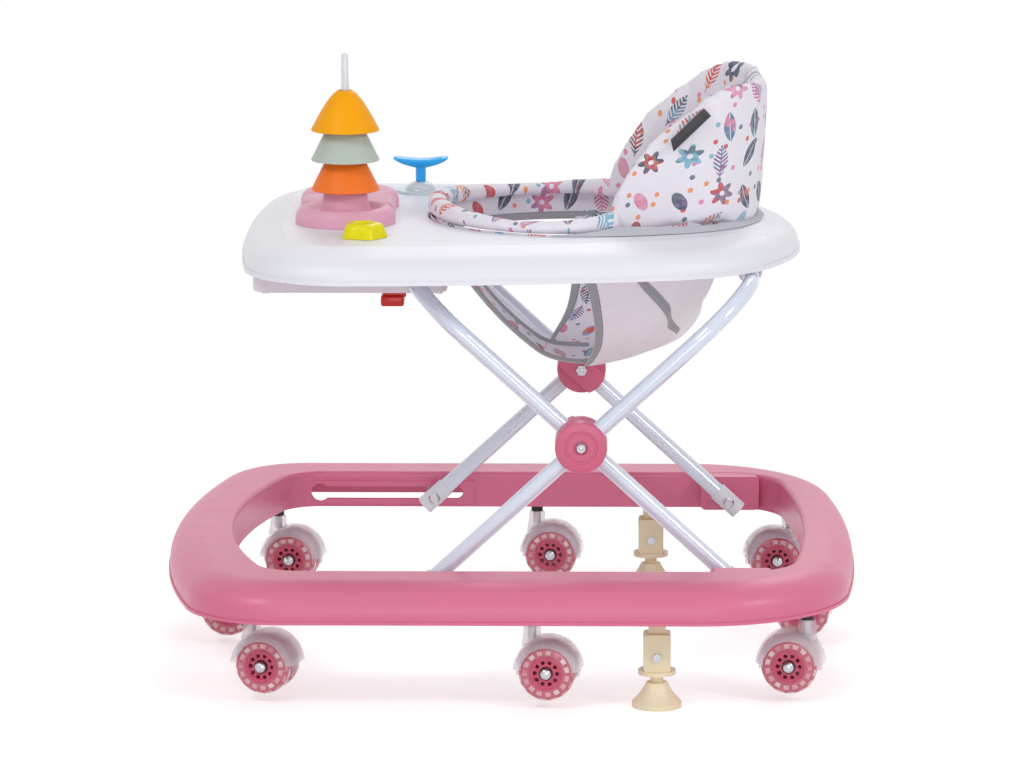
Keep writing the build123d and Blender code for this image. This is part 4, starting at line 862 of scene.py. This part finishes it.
def lens(y, width, height):
    """Half width of a pointed oval at a height."""
    share = calc("DIVIDE", y, height)
    left = calc("SUBTRACT", 1.0, times(share, share))
    return times(left, width)


def sprig(x, y):
    """A stem with rows of slanting leaves, longest in the middle."""
    side = calc("ABSOLUTE", x)
    inside = below(side, lens(y, 0.21, 0.46))
    slant = calc("SUBTRACT", y, times(side, 0.8))
    row = calc("FRACT", times(slant, 8.5))
    leaves = times(inside, between(row, 0.20, 0.78))
    stem = times(below(side, 0.016), between(y, -0.56, 0.46))
    return calc("MAXIMUM", leaves, stem)


def leaf(x, y):
    """A pointed leaf with a pale vein."""
    side = calc("ABSOLUTE", x)
    blade = below(side, lens(y, 0.19, 0.46))
    return times(blade, calc("GREATER_THAN", side, 0.012))


def oval(x, y, width, height):
    """An upright oval."""
    across = calc("DIVIDE", x, width)
    up = calc("DIVIDE", y, height)
    return below(square_sum(across, up), 1.0)


def rosette(x, y):
    """A round flower of six petals."""
    turn = calc("ARCTAN2", y, x)
    away = calc("SQRT", square_sum(x, y))
    wave = calc("COSINE", times(turn, 6.0))
    petal = calc("ADD", 0.27, times(wave, 0.08))
    return times(below(away, petal), calc("GREATER_THAN", away, 0.075))


print("motifs ready")

# %% Printed cotton
GROUND = tint(236, 232, 242)
PRINT_COLOURS = [
    tint(58, 124, 160), tint(214, 76, 52), tint(72, 84, 108), tint(226, 120, 160), tint(238, 134, 60),
    tint(118, 180, 206), tint(128, 92, 150), tint(196, 52, 62), tint(52, 66, 92), tint(222, 150, 178),
]
DOT_COLOURS = [
    tint(212, 58, 54), tint(232, 128, 166), tint(86, 104, 130), tint(240, 140, 70), tint(120, 178, 204),
]
MOTIF_CELL = 0.035
DOT_CELL = 0.0135
THREAD = 0.0011


def printed_cotton(name):
    """Off-white cotton with large motifs, small dots between them and a soft wash in the ink."""
    material, shader, where = cloth_base(name, 0.85, 0.25)
    x, y, kind, hue = scatter(where, MOTIF_CELL, 0.35, 1.5)
    motifs = [
        (sprig(x, y), 0.0, 0.38),
        (leaf(x, y), 0.38, 0.62),
        (oval(x, y, 0.16, 0.29), 0.62, 0.78),
        (rosette(x, y), 0.78, 1.01),
    ]
    ink = None
    for shape, low, high in motifs:
        part = times(shape, between(kind, low - 0.001, high))
        ink = part if ink is None else calc("MAXIMUM", ink, part)
    wash = noise_on(where, 190.0, 3.0, Roughness=0.6)
    depth = ranged(wash, From_Min=0.3, From_Max=0.7, To_Min=0.72, To_Max=1.0)
    main_hue = add_node(hue.id_data, "TexWhiteNoise", {"noise_dimensions": "1D"}, W=hue).outputs["Value"]
    other_hue = calc("FRACT", calc("ADD", main_hue, 0.37))
    blot = noise_on(where, 70.0, 2.0)
    run = ranged(blot, From_Min=0.50, From_Max=0.58, To_Max=0.75)
    main_ink = ramp_of(main_hue, PRINT_COLOURS)
    other_ink = ramp_of(other_hue, PRINT_COLOURS)
    pigment = mixed(run, main_ink, other_ink)
    shade = mixed(times(ink, depth), GROUND, pigment)
    dot_x, dot_y, dot_kind, dot_hue = scatter(where, DOT_CELL, 0.9, 0.0)
    dot = oval(dot_x, dot_y, 0.17, 0.19)
    dot = times(dot, calc("GREATER_THAN", dot_kind, 0.55))
    dot = times(dot, calc("SUBTRACT", 1.0, ink))
    shade = mixed(times(dot, 0.85), shade, ramp_of(dot_hue, DOT_COLOURS))
    wire(shader, Base_Color=shade)
    weave_bump(shader, where, THREAD, 0.35)
    return material


print("inks:", len(PRINT_COLOURS), "and", len(DOT_COLOURS), "for the dots")

# %% Plain cloths and tape
STITCH = 0.0038
STITCH_HALF = 0.0004


def plain_cloth(name, colour, thread, strength, stitch_at=None):
    """Plain woven cloth or tape in one colour, with a row of stitches where a place is given."""
    material, shader, where = cloth_base(name, 0.8, 0.3)
    parts = add_node(where.id_data, "SeparateXYZ", Vector=where).outputs
    ribs = calc("SINE", times(parts["X"], 2 * pi / thread))
    fuzz = noise_on(where, 240.0, 4.0)
    # painted shade across the ribs of the weave, mixed with random fuzz in the tone
    light = calc("ADD", times(ribs, 0.12), fuzz)
    shade = mixed(light, scaled(colour, 0.95), scaled(colour, 1.04))
    if stitch_at:
        on_row = between(parts["Y"], stitch_at - STITCH_HALF, stitch_at + STITCH_HALF)
        step = calc("FRACT", calc("DIVIDE", parts["X"], STITCH))
        stitch = times(on_row, below(step, 0.62))
        shade = mixed(times(stitch, 0.7), shade, scaled(colour, 0.5))
    wire(shader, Base_Color=shade)
    weave_bump(shader, where, thread, strength)
    return material


cloths = {
    "print": printed_cotton("printed_cotton"),
    "plain": plain_cloth("plain_backing", tint(245, 240, 248), 0.0009, 0.3),
    "binding": plain_cloth("grey_binding", tint(164, 164, 170), 0.0016, 0.6, stitch_at=0.0072),
    "mesh": plain_cloth("grey_mesh", tint(196, 197, 206), 0.0024, 0.9),
}
print("cloths:", ", ".join(cloths))

# %% [markdown]
# ## Padded backrest
# The backrest is a padded wall round the rear of the seat hole, with wings that slope down to
# the front. A grid is bent along the wall's plan, with its top row on the wings' edge, and given
# a thickness, because the wall curves both round the hole and outwards as it rises.

# %% Surface helpers
def panel(surface, along, across, length=0.0, width=0.0):
    """A grid on a surface, given as a function of two shares, with flat coordinates if it has a size."""
    bm = bmesh.new()
    bmesh.ops.create_grid(bm, x_segments=along, y_segments=across, size=0.5)
    if length:
        flat = bm.loops.layers.uv.new(PRINT_MAP)
        for loop in [loop for face in bm.faces for loop in face.loops]:
            loop[flat].uv = ((loop.vert.co.x + 0.5) * length, (loop.vert.co.y + 0.5) * width)
    for vert in bm.verts:
        vert.co = surface(vert.co.x + 0.5, vert.co.y + 0.5)
    return bm


def through(points, share):
    """A smooth curve through points, read at a share from 0 to 1."""
    spans = len(points) - 1
    place = min(max(share, 0.0), 1.0) * spans
    index = min(int(place), spans - 1)
    t = place - index
    p = [Vector(points[min(max(index + k, 0), spans)]) for k in (-1, 0, 1, 2)]
    if index == 0:
        p[0] = 2 * p[1] - p[2]
    if index == spans - 1:
        p[3] = 2 * p[2] - p[1]
    return 0.5 * (
        2 * p[1] + (p[2] - p[0]) * t + (2 * p[0] - 5 * p[1] + 4 * p[2] - p[3]) * t**2
        + (3 * p[1] - p[0] - 3 * p[2] + p[3]) * t**3
    )


print("surface helpers ready")

# %% Wall of the backrest
back_low, back_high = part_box("backrest_cover")
back_foot = back_low.z
back_front = back_low.x - 0.003
back_flare = 0.022
back_rake = 0.007
back_corner = 0.080
back_thickness = 0.014
puff_room = 0.003
puff_cap = 0.005
wing_margin = 0.002
pad_inset = 0.0018
back_rise = back_high.z - back_low.z
wing_edge = [
    (0.090, 0.012), (0.097, 0.034), (0.113, 0.063), (0.130, 0.089), (0.156, 0.113), (0.186, 0.136),
    (0.205, 0.144), (0.226, 0.148), (0.250, 0.148),
]


def height_at(table, x):
    """A height at a place along the walker, read off a table with straight lines between its rows."""
    for (x0, h0), (x1, h1) in zip(table, table[1:]):
        if x <= x1:
            return h0 + (h1 - h0) * max(0.0, (x - x0) / (x1 - x0))
    return table[-1][1]


def back_plan(rise, inset):
    """Half width, rear face, corner radius and straight half length of the wall's plan."""
    half = back_high.y - back_flare * (1 - rise) - inset - puff_room
    rear = back_high.x - back_rake * (1 - rise) - inset - 2 * puff_room
    bend = back_corner - inset
    cross = half - bend
    return half, rear, bend, cross


def back_point(along, height, inset):
    """A point of the wall, from -1 at the near wing's front to 1 at the far one's."""
    half, rear, bend, cross = back_plan(height / back_rise, inset)
    straight = rear - bend - back_front - wing_margin
    gone = abs(along) * (cross + bend * pi / 2 + straight)
    if gone < cross:
        x, y = rear, gone
    elif gone < cross + bend * pi / 2:
        turn = (gone - cross) / bend
        x, y = rear - bend + bend * cos(turn), cross + bend * sin(turn)
    else:
        x, y = rear - bend - (gone - cross - bend * pi / 2), half
    return Vector((x, copysign(y, along), back_foot + height))


def back_wall(u, v):
    """The wall's middle surface, from the tray up to the wings' edge."""
    along = 2 * u - 1
    x = back_point(along, back_rise * 0.6, back_thickness / 2).x
    height = pad_inset + v * (height_at(wing_edge, x) - 2 * pad_inset)
    return back_point(along, height, back_thickness / 2)


back_bm = panel(back_wall, 72, 22)
bmesh.ops.recalc_face_normals(back_bm, faces=back_bm.faces)
wall_thickness = back_thickness - 2 * pad_inset
bmesh.ops.solidify(back_bm, geom=back_bm.faces[:], thickness=wall_thickness)
pad_nodes = ["backrest_cover", "backrest_board"]
backrest = mesh_piece("backrest_pad", back_bm, "tray", "seat_fabric", pad_nodes, 180, cloths["print"])

# %% [markdown]
# The stuffing comes from Blender's cloth simulation. A remesh gives the shape an even skin, a
# little pressure blows it up for a few frames, and no point may move past a cap, so the pad
# keeps its outline. Its flat coordinates run round the wall and up it.

# %% Stuffing of the backrest
puff_steps = 20


def puffed(piece, cap, voxel=0.005, pressure=4.0):
    """Fill a closed shape with a short cloth simulation, moving no point more than the cap."""
    remesh = piece.modifiers.new("remesh", "REMESH")
    remesh.mode = "VOXEL"
    remesh.voxel_size = voxel
    depsgraph = bpy.context.evaluated_depsgraph_get()
    even = bpy.data.meshes.new_from_object(piece.evaluated_get(depsgraph))
    piece.modifiers.remove(remesh)
    piece.data = even
    start = [vert.co.copy() for vert in even.vertices]
    cloth = piece.modifiers.new("stuffing", "CLOTH")
    cloth.settings.use_pressure = True
    cloth.settings.uniform_pressure_force = pressure
    cloth.settings.effector_weights.gravity = 0.0
    for step in range(1, puff_steps + 1):
        scene.frame_set(step)
    full = piece.evaluated_get(bpy.context.evaluated_depsgraph_get()).data
    moves = [vert.co - place for vert, place in zip(full.vertices, start)]
    piece.modifiers.remove(cloth)
    scene.frame_set(1)
    for vert, place, move in zip(even.vertices, start, moves):
        vert.co = place + move * min(1.0, cap / max(move.length, 1e-9))
    even.shade_smooth()
    finer = piece.modifiers.new("finer", "SUBSURF")
    finer.levels = finer.render_levels = 1
    print(piece.name, "points", len(even.vertices))


def lay_flat(piece, flat):
    """Give a piece its flat cloth coordinates, in metres."""
    layer = piece.data.uv_layers.new(name=PRINT_MAP)
    places = [flat(vert.co) for vert in piece.data.vertices]
    for loop in piece.data.loops:
        layer.data[loop.index].uv = places[loop.vertex_index]


def back_flat(place):
    """Distance round the wall, and height, of a point of the backrest."""
    rise = (place.z - back_foot) / back_rise
    _, rear, bend, cross = back_plan(rise, back_thickness / 2)
    corner = rear - bend
    y = abs(place.y)
    if place.x > corner and y > cross:
        gone = cross + bend * atan2(y - cross, place.x - corner)
    elif place.x > corner:
        gone = y
    else:
        gone = cross + bend * pi / 2 + corner - place.x
    inward = hypot(place.x - corner, max(0.0, y - cross)) if place.x > corner else y - cross
    return (copysign(gone, place.y), place.z + 0.5 * (bend - inward))


puffed(backrest, puff_cap)
for vert in backrest.data.vertices:
    vert.co.z = max(vert.co.z, back_foot)
lay_flat(backrest, back_flat)

# %% [markdown]
# ## Padded collar
# A soft roll lies round the front of the seat hole, high in front and slumped at both sides,
# and ends at the backrest. It is a grid closed into a tube along the hole's edge, and the
# same simulation stuffs it.

# %% Roll round the hole
hole_front = 0.058
hole_rear = 0.072
hole_radius = 0.140
collar_low, collar_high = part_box("seat_collar")
collar_end = collar_high.x + 0.016
tuck_start = 0.058
tuck_depth = 0.024
collar_crest = [
    (-0.082, 0.023), (-0.05, 0.0185), (0.0, 0.0120), (0.040, 0.0125), (0.070, 0.0160), (0.094, 0.0200),
    (0.110, 0.0200),
]


def hole_point(along, radius, end):
    """A point of the hole's outline, from -1 on the near side over 0 in front to 1 on the far side."""
    quarter = radius * pi / 2
    tail = radius * asin((end - hole_rear) / radius)
    straight = hole_rear - hole_front
    gone = abs(along) * (quarter + straight + tail)
    if gone < quarter:
        x, y = hole_front - radius * cos(gone / radius), radius * sin(gone / radius)
    elif gone < quarter + straight:
        x, y = hole_front + gone - quarter, radius
    else:
        turn = (gone - quarter - straight) / radius
        x, y = hole_rear + radius * sin(turn), radius * cos(turn)
    return Vector((x, copysign(y, along), 0))


roll_inset = 0.002
roll_middle = hole_radius - 0.0085
roll_half = 0.0115 - roll_inset
roll_foot = 0.001
roll_share = 0.985
print_slant = 0.7
print_level = 0.45


def collar_roll(u, v):
    """The roll's skin: along the hole's edge, and once round the roll from its underside."""
    along = (2 * u - 1) * roll_share
    turn = 2 * pi * v - pi / 2
    height = height_at(collar_crest, hole_point(along, roll_middle, collar_end).x) - roll_inset
    out = roll_half * squared(cos(turn))
    place = hole_point(along, roll_middle + out, collar_end)
    tuck = max(0.0, (place.x - tuck_start) / (collar_end - tuck_start))
    place.y -= copysign(tuck_depth * tuck**1.5, place.y)
    place.z = collar_low.z + roll_foot + height * (0.5 + 0.5 * squared(sin(turn)))
    return place


collar_bm = panel(collar_roll, 150, 28)
bmesh.ops.remove_doubles(collar_bm, verts=collar_bm.verts, dist=0.05 * MM)
capped(collar_bm)
collar = mesh_piece("collar_roll", collar_bm, "tray", "seat_fabric", ["seat_collar"], 180, cloths["print"])
puffed(collar, puff_cap, voxel=0.004)
crease_depth = 0.0008
crease_from = collar_low.z + 0.006
for vert in collar.data.vertices:
    crease = noise.noise(Vector((vert.co.x * 60, vert.co.y * 60, vert.co.z * 20)))
    vert.co.z += crease_depth * crease * (vert.co.z > crease_from)
    vert.co.z = max(vert.co.z, collar_low.z)
    vert.co.x = min(vert.co.x, collar_end)


def collar_flat(place):
    """Distance round the hole, and over the roll, of a point of the collar."""
    centre = hole_front if place.x < hole_front else min(place.x, hole_rear)
    away = hypot(place.x - centre, place.y)
    if place.x < hole_front:
        gone = roll_middle * atan2(abs(place.y), hole_front - place.x)
    else:
        gone = roll_middle * pi / 2 + place.x - hole_front
    inward = roll_middle - away
    over = print_slant * inward + print_slant * copysign(1, inward) * (print_level - place.z)
    return (copysign(gone, place.y), over)


lay_flat(collar, collar_flat)

# %% [markdown]
# ## Sling seat
# Below the tray hangs the sling: a pouch behind, open for both legs, and a strap that comes
# up in front. Each has a printed lining and a plain backing, and grey tape binds the edges.
# The panels are grids laid on smooth surfaces, with folds added where the cloth is pulled.

# %% Surfaces of the sling
strap_line = [
    (-0.0745, 0.432), (-0.0600, 0.398), (-0.0405, 0.3660), (-0.0110, 0.3315), (0.0185, 0.3055),
    (0.0380, 0.2945), (0.0640, 0.2910), (0.0900, 0.2920),
]
strap_half_widths = [0.034, 0.034, 0.034, 0.034, 0.036, 0.042, 0.050, 0.046]
strap_curl = 0.009
pouch_front = hole_rear
pouch_rows = [
    (0.017, 0.1385, 0.1385), (0.050, 0.1275, 0.130), (0.086, 0.1120, 0.116), (0.108, 0.0980, 0.102),
    (0.121, 0.0850, 0.088), (0.134, 0.0560, 0.070), (0.1415, 0.0260, 0.052),
]
crease_rise = 0.010
ripple_rise = 0.0016
hoop_gap = 0.0022
hoop_depth = 0.027
near_edge_shift = [-0.010, 0.002, 0.009, 0.010, 0.008, 0.004, 0.0]
far_edge_shift = [-0.010, -0.012, -0.013, -0.017, -0.023, -0.032, -0.036]


def along_row(values, share):
    """A smooth value along a row of single numbers."""
    return through([(value, 0) for value in values], share)[0]


def strap(u, v):
    """The strap, from the front of the hole down to the seat's bottom."""
    x, z = through(strap_line, u)
    side = 2 * v - 1
    curl = strap_curl * side * side * min(1.0, 4 * u) * (1 - 0.6 * u)
    return Vector((x, side * along_row(strap_half_widths, u), z + curl))


def pouch(u, v):
    """The pouch, from its near front edge round to the far one, and down from the rim."""
    drop, reach, half = through(pouch_rows, v)
    turn = pi * u
    shift = along_row(near_edge_shift if u < 0.5 else far_edge_shift, v) * abs(cos(turn)) ** 3
    slack = sin(pi * v) * sin(turn)
    ridge = (1 - abs(sin(3.4 * turn + 2.6 * v))) ** 3
    ridge -= 0.6 * (1 - abs(sin(4.1 * turn - 3.3 * v + 0.9))) ** 3
    fold = (crease_rise * ridge + ripple_rise * sin(15 * turn + 7 * v)) * slack
    x = pouch_front + shift + (reach + fold) * sin(turn)
    return Vector((x, -(half + fold) * cos(turn), tray_top - drop))


def hoop(u, v):
    """The band inside the hole, from under the collar down to its bound edge."""
    turn = 2 * pi * u
    radius = hole_radius - hoop_gap
    centre = hole_front + (hole_rear - hole_front) * (0.5 - 0.5 * cos(turn))
    return Vector((centre - radius * cos(turn), radius * sin(turn), tray_top + 0.001 - hoop_depth * v))


def lifted(surface, amount, step=0.01):
    """The same surface, moved along its own normal."""
    def moved_surface(u, v):
        du = surface(min(u + step, 1), v) - surface(max(u - step, 0), v)
        dv = surface(u, min(v + step, 1)) - surface(u, max(v - step, 0))
        return surface(u, v) + du.cross(dv).normalized() * amount
    return moved_surface


def length_of(surface, along_u, at):
    """Length of a line across a surface."""
    shares = [step / 40 for step in range(41)]
    points = [surface(share, at) if along_u else surface(at, share) for share in shares]
    return sum((b - a).length for a, b in zip(points, points[1:]))


def cloth_panel(name, surface, along, across, thickness, cloth, level=1):
    """A sheet laid on a surface, with its flat coordinates in metres, and its length, width and area."""
    length = length_of(surface, True, 0.5)
    width = length_of(surface, False, 0.5)
    bm = panel(surface, along, across, length, width)
    area = sum(face.calc_area() for face in bm.faces)
    piece = mesh_piece(name, bm, "tray", "sling_fabric", (), 180, cloths[cloth])
    ply = piece.modifiers.new("ply", "SOLIDIFY")
    ply.thickness = thickness
    ply.offset = 0.0
    finer = piece.modifiers.new("finer", "SUBSURF")
    finer.levels = finer.render_levels = level
    return piece, length, width, area


SEAM = 1.02


def cut_size(length, width, area):
    """Width and length that a panel is cut from, with its seams."""
    return (max(width, area / length) * SEAM, length * SEAM)


print("sling surfaces ready, strap length", round(length_of(strap, True, 0.5), 3))

# %% Sling panels
PLY = 0.0011
lining_lift = 0.0009
backing_lift = -0.0013
panel_rows = [
    ("strap_lining", lifted(strap, lining_lift), 48, 12, "print"),
    ("strap_backing", lifted(strap, backing_lift), 48, 12, "plain"),
    ("pouch_lining", lifted(pouch, lining_lift), 80, 36, "print"),
    ("pouch_backing", lifted(pouch, backing_lift), 80, 36, "plain"),
    ("hoop_band", hoop, 120, 6, "print"),
]
panels = {}
for name, surface, along, across, cloth in panel_rows:
    panels[name] = cloth_panel(name, surface, along, across, PLY, cloth)
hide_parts("seat_sling")

# %% [markdown]
# Binding tape is folded over the raw edges of the leg openings and along the seams. A strip
# of the same surface, a little thicker than the cloth, gives it.

# %% Binding tape
tape = 0.0098
tape_thickness = 0.0046
strap_share = tape / (2 * strap_half_widths[0])
pouch_share = tape / length_of(pouch, True, 0.4)
hoop_share = 0.3
strap_tape_end = 0.93
pouch_tape_start = 0.06
seam_path = [(0.118, 0.07), (0.14, 0.155), (0.168, 0.21), (0.205, 0.265), (0.263, 0.37), (0.40, 0.55)]


def tape_drop(share):
    """How far down the pouch the tape on its front edge has come."""
    return pouch_tape_start + (1 - pouch_tape_start) * share


def seam(mirrored):
    """The tape that slants across the pouch, from the rim down to the back."""
    def surface(u, v):
        place = through(seam_path, u)
        ahead = through(seam_path, min(1.0, u + 0.02)) - through(seam_path, max(0.0, u - 0.02))
        ahead.normalize()
        at_u = place[0] + (v - 0.5) * pouch_share * ahead[1]
        at_v = place[1] - (v - 0.5) * pouch_share * 2.4 * ahead[0]
        return pouch(1 - at_u if mirrored else at_u, at_v)
    return surface


bindings = [
    ("strap_near", "strap_lining", lambda u, v: strap(strap_tape_end * u, v * strap_share), 60),
    ("strap_far", "strap_lining", lambda u, v: strap(strap_tape_end * u, 1 - v * strap_share), 60),
    ("pouch_near", "pouch_lining", lambda u, v: pouch(v * pouch_share, tape_drop(u)), 40),
    ("pouch_far", "pouch_lining", lambda u, v: pouch(1 - v * pouch_share, tape_drop(u)), 40),
    ("seam_near", "pouch_backing", seam(False), 40),
    ("seam_far", "pouch_backing", seam(True), 40),
    ("hoop", "hoop_band", lambda u, v: hoop(u, 1 - v * hoop_share), 120),
]
tapes_of = {name: [] for name in panels}
for label, owner, surface, along in bindings:
    strip = cloth_panel("binding_" + label, surface, along, 3, tape_thickness, "binding", 2)
    tapes_of[owner].append(strip[0])
for name, (piece, length, width, area) in panels.items():
    flat_size = cut_size(length, width, area)
    print(name, "cut from", [round(side, 3) for side in flat_size])

# %% [markdown]
# Round the foot of the backrest a strip of grey mesh covers the gap between the padding and
# the edge of the tray's hole. It is one sheet laid from the hole's edge up to the padding.

# %% Mesh apron
apron_edge = [
    (0.040, 0.1452), (0.078, 0.1455), (0.108, 0.1430), (0.140, 0.1350), (0.172, 0.1240), (0.202, 0.1060),
    (0.226, 0.0820), (0.243, 0.0440), (0.2495, 0.0),
]
apron_inside = [
    (0.040, 0.1435), (0.078, 0.1370), (0.108, 0.1130), (0.140, 0.1100), (0.172, 0.1070), (0.195, 0.0960),
    (0.217, 0.0730), (0.232, 0.0400), (0.2380, 0.0),
]
apron_lift = 0.0008
apron_rise = 0.0042


def apron(u, v):
    """The mesh from the hole's edge up to the padding, from the near side round to the far one."""
    half = 1 - abs(2 * u - 1)
    outer = through(apron_edge, half)
    inner = through(apron_inside, half)
    x, y = outer + (inner - outer) * v
    rise = apron_lift + apron_rise * v * min(1.0, 5 * half)
    return Vector((x, copysign(y, 2 * u - 1), tray_top + rise))


mesh_ply = 0.001
apron_piece, *apron_size = cloth_panel("mesh_apron", apron, 120, 6, mesh_ply, "mesh")
cut_size(*apron_size)

# %% [markdown]
# A dark plastic clip sits on each wing's outer edge. It is a short rod with a slanted cut at its
# lower end, so it starts as a cylinder, and a plane cuts it.

# %% Wing clips
clip_low, clip_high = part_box("backrest_clips")
clip_middle = (clip_low + clip_high) / 2
clip_length = 0.050
clip_radius = 0.0052
clip_slope = radians(44)
clip_cut_at = -clip_length * 0.44
clip_cut_facing = (-0.5, 0, -0.86)
clip_forward = 0.001
clip_inset = 0.0045
clip_bm = bmesh.new()
for side in (-1, 1):
    clip = rod(clip_radius, clip_length, 32)
    sliced(clip, (0, 0, clip_cut_at), clip_cut_facing, clear_outer=True)
    capped(clip)
    softened(clip, sharper_than(clip, 40), 0.0008, 2, clamp=True)
    moved(clip, Matrix.Rotation(pi / 2 - clip_slope, 4, "Y"))
    spot = Vector((clip_middle.x - clip_forward, side * (clip_high.y - clip_inset), clip_middle.z))
    merged(clip_bm, moved(clip, Matrix.Translation(spot)))
mesh_piece("wing_clips", clip_bm, "tray", "dark_plastic", ["backrest_clips"])

# %% [markdown]
# ## Sizes
# Cloth and plastic trim must not make the walker larger than its CAD model.

# %% Sizes and finish
print("the walker is built")
